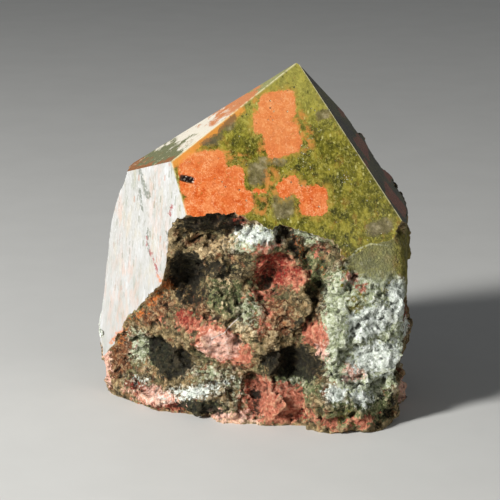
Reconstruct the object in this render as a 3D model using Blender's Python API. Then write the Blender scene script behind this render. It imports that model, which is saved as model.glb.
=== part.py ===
"""A unakite point: a broken lump of green and orange rock whose top is ground to a point.

The lump is a set of broken faces, wedges, hollows, knobs and ridges round a core point.
A convex block of flat ground faces then cuts it: five faces of the point, one side, and
the flat underneath that it rests on, whose height is zero.
Sizes are in millimetres until the mesh is made. +X is right, +Y is back, +Z is up.
"""

import math

import bmesh
import bpy
import numpy as np
from mathutils import Vector, noise

MM = 0.001

# Driving dimensions: the top of the point, and the place that the lump is drawn round.
TIP = (9.0, 4.0, 76.1)
CORE = (2.0, 2.0, 34.0)
EDGE_ROUNDING = 1.2
HOLLOW_ROUNDING = 0.8
BLOCK_SIZE = 200.0

# How finely the lump is meshed: cells along each side of the first grid, the cell of the
# even mesh before and after its relief, and the share of triangles kept at the end.
GRID_CELLS = 64
EVEN_CELL = 1.1
RELIEF_CELL = 0.9
KEPT_SHARE = 0.2
SURFACE_REACH = 66.0
SURFACE_STEPS = 80
SURFACE_HALVINGS = 16

# Ground faces of the point, each through the tip: azimuth and tilt of its outward
# normal in degrees, and how far it is set back from the tip.
POINT_FACES = {
    "front": (-79.9, 27.4, 0.0),
    "left": (-168.6, 57.3, 0.0),
    "right": (-11.0, 37.1, 0.0),
    "back_right": (52.0, 42.0, 0.4),
    "back_left": (122.0, 41.0, 0.2),
}
# The ground side below the left face: azimuth and tilt of its normal, and a point on it.
SIDE_FACE = (-140.4, 3.5, (-18.5, -11.0, 56.6))

# Broken faces of the lump: azimuth and tilt of the outward normal, and a point on it.
BROKEN_FACES = {
    "front": (-80.0, 18.5, (24.0, -13.6, 37.0)),
    "front_corner": (-38.0, 6.0, (32.0, -24.0, 12.0)),
    "right_upper": (-4.0, 4.0, (33.8, 0.0, 34.0)),
    "right_lower": (-2.0, -4.0, (35.5, 0.0, 20.0)),
    "right_back": (42.0, 6.0, (27.0, 20.0, 30.0)),
    "back": (88.0, 5.0, (2.0, 30.0, 26.0)),
    "back_left": (138.0, 4.0, (-25.0, 23.0, 26.0)),
    "left": (178.0, 7.0, (-34.5, 12.0, 24.0)),
    "lower_left": (-126.4, -13.0, (-25.7, -5.0, 21.0)),
    "left_shoulder": (172.0, 24.0, (-31.8, 5.5, 44.4)),
    "back_shoulder": (95.0, 35.0, (0.0, 25.0, 50.0)),
    "right_shoulder": (20.0, 30.0, (30.4, 8.0, 47.0)),
    "top": (0.0, 90.0, (0.0, 0.0, 90.0)),
    "under": (0.0, -90.0, (0.0, 0.0, -1.6)),
    "under_left": (-165.0, -50.0, (-33.5, 6.0, 2.0)),
    "under_left_rise": (172.0, -80.0, (-13.0, 0.0, -1.2)),
    "under_back_rise": (84.0, -78.0, (0.0, 10.0, -1.2)),
    "under_right_rise": (6.0, -82.0, (17.0, 0.0, -1.2)),
    "under_back": (95.0, -45.0, (0.0, 27.0, 4.0)),
    "under_right": (5.0, -40.0, (31.8, 0.0, 8.0)),
    "under_front": (-95.0, -55.0, (15.0, -26.4, 0.8)),
}

# Wedges broken out of the lump: each removes what lies outside all of its faces.
BROKEN_WEDGES = {
    "front_left": (
        (-127.0, -12.0, (-18.9, -11.1, 31.4)),
        (-80.0, -74.0, (-8.0, -14.5, 45.0)),
        (178.0, -12.0, (1.0, -14.0, 38.0)),
        (0.0, 35.0, (-18.6, -12.0, 36.0)),
    ),
    "under_roof": (
        (-105.0, -20.0, (-9.0, -8.5, 42.0)),
        (-80.0, -74.0, (-8.0, -14.5, 45.0)),
        (178.0, -20.0, (-2.0, -14.0, 42.0)),
        (-90.0, 70.0, (-9.0, -10.0, 38.5)),
        (0.0, 12.0, (-17.6, -12.0, 42.0)),
    ),
    "front_middle": (
        (-92.0, 12.0, (4.0, -12.4, 40.0)),
        (180.0, -66.0, (8.0, -14.0, 41.8)),
        (-80.0, -74.0, (-2.0, -14.5, 44.6)),
        (172.0, 8.0, (16.0, -18.0, 27.0)),
    ),
    "lower_right": (
        (-74.0, 4.0, (26.0, -25.0, 6.0)),
        (-90.0, -62.0, (26.0, -26.0, 9.0)),
    ),
}

# Hollows and knobs: centre and half-sizes along X, Y and Z.
HOLLOWS = {
    "black_hollow": ((-15.0, -14.5, 31.0), (4.6, 5.5, 5.2)),
    "red_bowl": ((3.4, -16.0, 30.6), (5.6, 5.2, 5.0)),
    "right_pocket": ((13.3, -18.0, 28.4), (3.6, 4.5, 3.0)),
    "large_pit": ((7.2, -21.5, 13.5), (7.2, 7.2, 5.2)),
    "left_pit": ((-22.0, -5.0, 11.0), (5.6, 6.4, 4.6)),
    "lower_fissure": ((-0.8, -19.0, 5.5), (1.8, 5.0, 4.5)),
    "right_notch": ((40.2, -12.0, 12.0), (9.4, 20.0, 4.6)),
}
KNOBS = {
    "upper_knob": ((2.6, -11.4, 38.6), (5.6, 4.6, 3.6)),
    "pink_knob": ((-9.2, -12.6, 18.0), (6.0, 4.2, 4.6)),
    "lower_knob": ((4.5, -18.5, 5.5), (5.0, 4.6, 5.0)),
    "corner_knob": ((31.6, -5.0, 2.6), (3.0, 3.6, 3.0)),
}
# Ridges: both ends and the radius of each.
RIDGES = {
    "recess_ridge": ((-14.5, -9.0, 34.6), (-3.5, -11.6, 38.4), 1.9),
    "bowl_rim": ((1.0, -14.0, 24.8), (11.0, -14.8, 30.4), 2.0),
    "right_rim": ((20.5, -12.4, 38.4), (15.8, -14.0, 32.0), 1.7),
    "left_edge": ((-32.8, 4.0, 10.0), (-31.8, 3.0, 2.5), 2.5),
    "left_toe": ((-30.5, 0.5, 1.6), (-20.7, -9.0, 1.9), 2.7),
    "left_ledge": ((-20.7, -9.0, 2.2), (-7.0, -15.8, 3.0), 2.9),
    "bottom_lip": ((-7.0, -17.2, 1.2), (1.5, -19.2, 1.4), 2.3),
    "right_toe": ((24.5, -21.5, 1.5), (28.4, -17.8, 3.4), 3.5),
}

# Relief of the broken faces: wavelength and height of each size of rounded lump.
LUMPS = ((17.0, 2.2), (7.5, 1.3))
# Flat grains of the broken faces: size, step from one to the next, and slope of each.
GRAINS = ((8.0, 0.7, 0.32), (4.0, 0.4, 0.36))
# Places where the broken rock is nearly smooth: centre and half-sizes. The relief fades
# from the border of each towards its centre, this steeply and down to this share.
WORN_PLACES = {
    "brow": ((27.0, -12.0, 36.5), (9.5, 9.0, 6.5)),
    "right_strip": ((34.0, -2.0, 33.0), (5.0, 14.0, 12.0)),
}
WORN_FADE = 2.5
WORN_SHARE = 0.15
# The middle of the range of the random numbers that grains take.
MIDDLE = Vector((0.5, 0.5, 0.5))
# Beyond the ground faces, relief sinks by no more than this share of the distance.
GROUND_CLEARANCE = 0.6

STONE_COLOUR = (0.20, 0.19, 0.06, 1.0)


def outward(azimuth, tilt):
    """Unit normal that points along an azimuth, tilted up from level, both in degrees."""
    turn = math.radians(azimuth)
    rise = math.radians(tilt)
    level = math.cos(rise)
    return np.array([math.cos(turn) * level, math.sin(turn) * level, math.sin(rise)])


def above_plane(points, face):
    """Height of each point above a face given by azimuth, tilt and a point on it."""
    azimuth, tilt, on_face = face
    return (points - np.array(on_face)) @ outward(azimuth, tilt)


def blended_most(heights, rounding):
    """The largest of several heights, with a soft changeover between them."""
    top = np.max(heights, axis=0)
    total = sum(np.exp((height - top) / rounding) for height in heights)
    return top + rounding * np.log(total)


def ellipsoid_height(points, centre, half_sizes):
    """Rough distance from each point to an ellipsoid, negative inside."""
    scaled = (points - np.array(centre)) / np.array(half_sizes)
    return (np.linalg.norm(scaled, axis=1) - 1.0) * min(half_sizes)


def ridge_height(points, start, end, radius):
    """Distance from each point to a round-ended ridge, negative inside."""
    start, end = np.array(start), np.array(end)
    along = end - start
    share = np.clip((points - start) @ along / (along @ along), 0.0, 1.0)
    nearest = start + share[:, None] * along
    return np.linalg.norm(points - nearest, axis=1) - radius


def lump_height(points):
    """Rough distance from each point to the broken lump, negative inside the rock."""
    faces = [above_plane(points, face) for face in BROKEN_FACES.values()]
    height = blended_most(faces, EDGE_ROUNDING)
    for wedge in BROKEN_WEDGES.values():
        sides = [-above_plane(points, face) for face in wedge]
        removed = -blended_most(sides, HOLLOW_ROUNDING)
        height = blended_most([height, removed], HOLLOW_ROUNDING)
    raised = [ellipsoid_height(points, *knob) for knob in KNOBS.values()]
    raised += [ridge_height(points, *ridge) for ridge in RIDGES.values()]
    for knob in raised:
        height = -blended_most([-height, -knob], HOLLOW_ROUNDING)
    for hollow in HOLLOWS.values():
        inside = -ellipsoid_height(points, *hollow)
        height = blended_most([height, inside], HOLLOW_ROUNDING)
    return height


def surface_points(directions):
    """Where each direction from the core leaves the rock, searching inwards."""
    core = np.array(CORE)
    outer = np.full(len(directions), SURFACE_REACH)
    inner = np.zeros(len(directions))
    searching = np.ones(len(directions), bool)
    step = SURFACE_REACH / SURFACE_STEPS
    for count in range(1, SURFACE_STEPS):
        reach = SURFACE_REACH - count * step
        rows = np.nonzero(searching)[0]
        inside = lump_height(core + directions[rows] * reach) < 0
        inner[rows[inside]] = reach
        outer[rows[~inside]] = reach
        searching[rows[inside]] = False
    for _ in range(SURFACE_HALVINGS):
        middle = (inner + outer) / 2
        inside = lump_height(core + directions * middle[:, None]) < 0
        inner = np.where(inside, middle, inner)
        outer = np.where(inside, outer, middle)
    return core + directions * inner[:, None]


def relief_height(point):
    """Relief of the broken rock at one point: rounded lumps, and flat tilted grains."""
    height = 0.0
    for wavelength, amount in LUMPS:
        height += amount * noise.noise(Vector(point) / wavelength)
    for size, step, slope in GRAINS:
        _, centres = noise.voronoi(Vector(point) / size)
        centre = centres[0] * size
        tilt = noise.cell_vector(centres[0]) - MIDDLE
        height += step * (noise.cell(centres[0]) - MIDDLE.x)
        height += slope * tilt.dot(Vector(point) - centre)
    return height


def relief_share(point):
    """How much of the relief a point takes: all of it, but little where the rock is worn."""
    share = 1.0
    for centre, half_sizes in WORN_PLACES.values():
        radius = np.linalg.norm((np.array(point) - centre) / half_sizes)
        share = min(share, max(1.0 - WORN_FADE * (1.0 - radius), WORN_SHARE))
    return share


def smooth_lump():
    """The lump before its relief, as a grid of quads wrapped round the core."""
    lump = bmesh.new()
    bmesh.ops.create_cube(lump, size=2.0)
    bmesh.ops.subdivide_edges(
        lump, edges=lump.edges, cuts=GRID_CELLS - 1, use_grid_fill=True
    )
    grid = np.array([vert.co for vert in lump.verts])
    directions = np.tan(grid * math.pi / 4)
    directions /= np.linalg.norm(directions, axis=1)[:, None]
    for vert, point in zip(lump.verts, surface_points(directions)):
        vert.co = Vector(point) * MM
    return lump


def remade(lump, kind, **settings):
    """The same shape with a new mesh, made by a modifier of the given kind."""
    mesh = bpy.data.meshes.new("lump")
    lump.to_mesh(mesh)
    lump.free()
    holder = bpy.data.objects.new("lump", mesh)
    bpy.context.scene.collection.objects.link(holder)
    modifier = holder.modifiers.new("remade", kind)
    for name, value in settings.items():
        setattr(modifier, name, value)
    new_lump = bmesh.new()
    new_lump.from_object(holder, bpy.context.evaluated_depsgraph_get())
    bpy.data.objects.remove(holder)
    bpy.data.meshes.remove(mesh)
    return new_lump


def add_relief(lump):
    """Moves the broken surface in and out by its relief, but keeps the ground faces whole."""
    lump.normal_update()
    places = np.array([vert.co for vert in lump.verts]) / MM
    outside = [(places - on_face) @ normal for on_face, normal in ground_planes()]
    spare = np.maximum(np.max(outside, axis=0), 0.0)
    for vert, place, room in zip(lump.verts, places, spare):
        height = relief_height(place) * relief_share(place)
        if room > 0.0:
            height = max(height, -GROUND_CLEARANCE * room)
        vert.co += vert.normal * (height * MM)


def ground_planes():
    """Each ground plane as a point on it and its outward normal."""
    planes = []
    for azimuth, tilt, setback in POINT_FACES.values():
        normal = outward(azimuth, tilt)
        planes.append((np.array(TIP) - normal * setback, normal))
    azimuth, tilt, on_face = SIDE_FACE
    planes.append((np.array(on_face), outward(azimuth, tilt)))
    planes.append((np.zeros(3), outward(0.0, -90.0)))
    return planes


def stone_material():
    """Green stone with a low polish, the base colour of the whole piece."""
    material = bpy.data.materials.new("unakite")
    material.use_nodes = True
    shader = material.node_tree.nodes["Principled BSDF"]
    shader.inputs["Base Color"].default_value = STONE_COLOUR
    shader.inputs["Roughness"].default_value = 0.45
    shader.inputs["Metallic"].default_value = 0.0
    return material


def add_ground_block():
    """The space inside all the ground planes, as one convex solid that cuts the lump."""
    block = bmesh.new()
    bmesh.ops.create_cube(block, size=BLOCK_SIZE * MM)
    for on_face, normal in ground_planes():
        cut = bmesh.ops.bisect_plane(
            block,
            geom=block.verts[:] + block.edges[:] + block.faces[:],
            plane_co=Vector(on_face) * MM,
            plane_no=Vector(normal),
            clear_outer=True,
        )
        rim = [item for item in cut["geom_cut"] if isinstance(item, bmesh.types.BMEdge)]
        bmesh.ops.contextual_create(block, geom=rim)
    bmesh.ops.recalc_face_normals(block, faces=block.faces)
    mesh = bpy.data.meshes.new("ground_block")
    block.to_mesh(mesh)
    block.free()
    cutter = bpy.data.objects.new("ground_block", mesh)
    cutter.hide_render = True
    cutter.display_type = "WIRE"
    bpy.context.scene.collection.objects.link(cutter)
    return cutter


def build_stone():
    """The unakite point: the rough lump, thinned to flat facets and cut by the block."""
    lump = remade(smooth_lump(), "REMESH", mode="VOXEL", voxel_size=EVEN_CELL * MM)
    add_relief(lump)
    lump = remade(lump, "REMESH", mode="VOXEL", voxel_size=RELIEF_CELL * MM)
    mesh = bpy.data.meshes.new("unakite_point")
    lump.to_mesh(mesh)
    lump.free()
    mesh.materials.append(stone_material())
    stone = bpy.data.objects.new("unakite_point", mesh)
    bpy.context.scene.collection.objects.link(stone)
    thinned = stone.modifiers.new("facets", "DECIMATE")
    thinned.ratio = KEPT_SHARE
    ground = stone.modifiers.new("ground_faces", "BOOLEAN")
    ground.operation = "INTERSECT"
    ground.object = add_ground_block()
    return stone


def main():
    for old in list(bpy.data.objects):
        bpy.data.objects.remove(old)
    build_stone()


main()
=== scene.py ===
"""A unakite point on a pale stage.

The broken lump is shaped again from the same sizes as the solid, on a finer mesh. Geometry
Nodes then break its surface into small tilted grains, and the flat ground faces cut it.
Numbers in the tables are millimetres. +X is right, +Y is back and +Z is up.
"""

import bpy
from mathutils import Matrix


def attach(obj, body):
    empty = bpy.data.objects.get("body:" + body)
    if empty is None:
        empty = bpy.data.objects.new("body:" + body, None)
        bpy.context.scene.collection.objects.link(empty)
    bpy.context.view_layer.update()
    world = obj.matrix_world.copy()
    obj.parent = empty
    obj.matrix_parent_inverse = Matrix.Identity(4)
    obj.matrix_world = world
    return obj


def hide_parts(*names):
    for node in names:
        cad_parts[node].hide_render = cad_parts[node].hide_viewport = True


bl_info = {
    "name": "Unakite Point",
    "version": (1, 0, 0),
    "blender": (4, 5, 0),
    "location": "3D View > Sidebar > Unakite",
    "description": "Makes a broken and ground unakite point, and a stage to show it on",
    "category": "Object",
}

import math

import bmesh
import bpy
import numpy as np
from mathutils import Vector, noise

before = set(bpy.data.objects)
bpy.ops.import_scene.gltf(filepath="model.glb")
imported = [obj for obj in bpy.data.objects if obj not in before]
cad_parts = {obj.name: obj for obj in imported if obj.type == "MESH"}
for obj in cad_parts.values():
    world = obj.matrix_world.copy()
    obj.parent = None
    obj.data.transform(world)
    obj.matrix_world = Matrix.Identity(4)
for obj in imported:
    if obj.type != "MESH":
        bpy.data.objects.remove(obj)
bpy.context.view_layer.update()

MM = 0.001
NODE = "unakite_point"

# The top of the point, and the place that the lump is drawn round.
TIP = (9.0, 4.0, 76.1)
CORE = (2.0, 2.0, 34.0)
# How softly broken faces meet, and how softly hollows and knobs join them.
EDGE_ROUNDING = 1.2
HOLLOW_ROUNDING = 0.8
# Size of the block that the ground faces are cut from, and cells along each side of the
# grid that is wrapped round the core.
BLOCK_SIZE = 200.0
GRID_CELLS = 96
# How far out the search for the surface starts, and its steps and halvings.
SURFACE_REACH = 66.0
SURFACE_STEPS = 80
SURFACE_HALVINGS = 16

# Ground faces of the point, each through the tip: azimuth and tilt of its outward
# normal in degrees, and how far it is set back from the tip.
POINT_FACES = {
    "front": (-79.9, 27.4, 0.0),
    "left": (-168.6, 57.3, 0.0),
    "right": (-11.0, 37.1, 0.0),
    "back_right": (52.0, 42.0, 0.4),
    "back_left": (122.0, 41.0, 0.2),
}
# The ground side below the left face: azimuth and tilt of its normal, and a point on it.
SIDE_FACE = (-140.4, 3.5, (-18.5, -11.0, 56.6))

# Broken faces of the lump: azimuth and tilt of the outward normal, and a point on it.
BROKEN_FACES = {
    "front": (-80.0, 18.5, (24.0, -13.6, 37.0)),
    "front_corner": (-38.0, 6.0, (32.0, -24.0, 12.0)),
    "right_upper": (-4.0, 4.0, (33.8, 0.0, 34.0)),
    "right_lower": (-2.0, -4.0, (35.5, 0.0, 20.0)),
    "right_back": (42.0, 6.0, (27.0, 20.0, 30.0)),
    "back": (88.0, 5.0, (2.0, 30.0, 26.0)),
    "back_left": (138.0, 4.0, (-25.0, 23.0, 26.0)),
    "left": (178.0, 7.0, (-34.5, 12.0, 24.0)),
    "lower_left": (-126.4, -13.0, (-25.7, -5.0, 21.0)),
    "left_shoulder": (172.0, 24.0, (-31.8, 5.5, 44.4)),
    "back_shoulder": (95.0, 35.0, (0.0, 25.0, 50.0)),
    "right_shoulder": (20.0, 30.0, (30.4, 8.0, 47.0)),
    "top": (0.0, 90.0, (0.0, 0.0, 90.0)),
    "under": (0.0, -90.0, (0.0, 0.0, -1.6)),
    "under_left": (-165.0, -50.0, (-33.5, 6.0, 2.0)),
    "under_left_rise": (172.0, -80.0, (-13.0, 0.0, -1.2)),
    "under_back_rise": (84.0, -78.0, (0.0, 10.0, -1.2)),
    "under_right_rise": (6.0, -82.0, (17.0, 0.0, -1.2)),
    "under_back": (95.0, -45.0, (0.0, 27.0, 4.0)),
    "under_right": (5.0, -40.0, (31.8, 0.0, 8.0)),
    "under_front": (-95.0, -55.0, (15.0, -26.4, 0.8)),
}

# Wedges broken out of the lump: each removes what lies outside all of its faces.
BROKEN_WEDGES = {
    "front_left": (
        (-127.0, -12.0, (-18.9, -11.1, 31.4)),
        (-80.0, -74.0, (-8.0, -14.5, 45.0)),
        (178.0, -12.0, (1.0, -14.0, 38.0)),
        (0.0, 35.0, (-18.6, -12.0, 36.0)),
    ),
    "under_roof": (
        (-105.0, -20.0, (-9.0, -8.5, 42.0)),
        (-80.0, -74.0, (-8.0, -14.5, 45.0)),
        (178.0, -20.0, (-2.0, -14.0, 42.0)),
        (-90.0, 70.0, (-9.0, -10.0, 38.5)),
        (0.0, 12.0, (-17.6, -12.0, 42.0)),
    ),
    "front_middle": (
        (-92.0, 12.0, (4.0, -12.4, 40.0)),
        (180.0, -66.0, (8.0, -14.0, 41.8)),
        (-80.0, -74.0, (-2.0, -14.5, 44.6)),
        (172.0, 8.0, (16.0, -18.0, 27.0)),
    ),
    "lower_right": (
        (-74.0, 4.0, (26.0, -25.0, 6.0)),
        (-90.0, -62.0, (26.0, -26.0, 9.0)),
    ),
}

# Hollows and knobs: centre and half-sizes along X, Y and Z.
HOLLOWS = {
    "black_hollow": ((-15.0, -14.5, 31.0), (4.6, 5.5, 5.2)),
    "red_bowl": ((3.4, -16.0, 30.6), (5.6, 5.2, 5.0)),
    "right_pocket": ((13.3, -18.0, 28.4), (3.6, 4.5, 3.0)),
    "large_pit": ((7.2, -21.5, 13.5), (7.2, 7.2, 5.2)),
    "left_pit": ((-22.0, -5.0, 11.0), (5.6, 6.4, 4.6)),
    "lower_fissure": ((-0.8, -19.0, 5.5), (1.8, 5.0, 4.5)),
    "right_notch": ((40.2, -12.0, 12.0), (9.4, 20.0, 4.6)),
}
KNOBS = {
    "upper_knob": ((2.6, -11.4, 38.6), (5.6, 4.6, 3.6)),
    "pink_knob": ((-9.2, -12.6, 18.0), (6.0, 4.2, 4.6)),
    "lower_knob": ((4.5, -18.5, 5.5), (5.0, 4.6, 5.0)),
    "corner_knob": ((31.6, -5.0, 2.6), (3.0, 3.6, 3.0)),
}
# Ridges: both ends and the radius of each.
RIDGES = {
    "recess_ridge": ((-14.5, -9.0, 34.6), (-3.5, -11.6, 38.4), 1.9),
    "bowl_rim": ((1.0, -14.0, 24.8), (11.0, -14.8, 30.4), 2.0),
    "right_rim": ((20.5, -12.4, 38.4), (15.8, -14.0, 32.0), 1.7),
    "left_edge": ((-32.8, 4.0, 10.0), (-31.8, 3.0, 2.5), 2.5),
    "left_toe": ((-30.5, 0.5, 1.6), (-20.7, -9.0, 1.9), 2.7),
    "left_ledge": ((-20.7, -9.0, 2.2), (-7.0, -15.8, 3.0), 2.9),
    "bottom_lip": ((-7.0, -17.2, 1.2), (1.5, -19.2, 1.4), 2.3),
    "right_toe": ((24.5, -21.5, 1.5), (28.4, -17.8, 3.4), 3.5),
}

# Relief of the broken faces: wavelength and height of each size of rounded lump.
LUMPS = ((17.0, 2.2), (7.5, 1.3))
# Flat grains of the broken faces: size, step from one to the next, and slope of each.
GRAINS = ((8.0, 0.7, 0.32), (4.0, 0.4, 0.36))
# Places where the broken rock is nearly smooth: centre and half-sizes. The relief fades
# from the border of each towards its centre, this steeply and down to this share.
WORN_PLACES = {
    "brow": ((27.0, -12.0, 36.5), (9.5, 9.0, 6.5)),
    "right_strip": ((34.0, -2.0, 33.0), (5.0, 14.0, 12.0)),
}
WORN_FADE = 2.5
WORN_SHARE = 0.15
# The middle of the range of the random numbers that grains take.
MIDDLE = Vector((0.5, 0.5, 0.5))
# Beyond the ground faces, relief sinks by no more than this share of the distance.
GROUND_CLEARANCE = 0.6

# Cracks cut into the broken rock only here, because they are finer than the solid's mesh.
CRACKS = (
    ((6.4, -13.4, 41.8), (10.2, -12.6, 34.4), 0.8),
    ((-0.6, -15.5, 6.0), (-0.2, -15.5, 1.5), 0.9),
)
# How many times its depth inside the crack's line the surface is sunk.
CRACK_DEEPENING = 2.0

# Blocks of feldspar on the front face: centre, half-sizes, and turn in degrees about Y.
FELDSPAR_BLOCKS = (
    ((4.5, 0.0, 67.2), (4.1, 14.0, 3.0), 6.0),
    ((3.4, -3.0, 64.0), (4.2, 14.0, 2.4), 0.0),
    ((5.6, -5.0, 60.3), (4.0, 14.0, 3.2), 14.0),
    ((-11.6, -9.0, 54.3), (5.2, 14.0, 4.5), 4.0),
    ((-5.4, -9.0, 51.6), (2.8, 14.0, 3.9), 0.0),
    ((-8.3, -12.0, 48.1), (7.5, 14.0, 2.7), 3.0),
    ((6.8, -9.0, 51.0), (2.5, 14.0, 1.8), 28.0),
    ((9.8, -9.0, 49.9), (1.4, 14.0, 1.3), 0.0),
    ((12.4, -10.0, 48.0), (3.0, 14.0, 3.0), -6.0),
    ((0.5, -10.0, 50.4), (1.5, 14.0, 0.5), 0.0),
)
# Blocks of grey-brown quartz on the front face.
QUARTZ_BLOCKS = (
    ((0.2, -9.0, 53.8), (2.1, 14.0, 2.2), 10.0),
    ((5.7, -11.0, 47.3), (2.3, 14.0, 2.5), 0.0),
    ((-6.3, -5.0, 64.0), (1.5, 14.0, 1.3), -30.0),
    ((3.4, -7.0, 56.2), (3.0, 14.0, 0.8), -6.0),
    ((26.9, -11.0, 42.2), (2.9, 14.0, 1.4), 12.0),
    ((-10.0, -8.0, 60.4), (1.9, 14.0, 0.7), 0.0),
    ((14.6, -2.0, 65.2), (1.6, 14.0, 1.0), 20.0),
)

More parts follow.
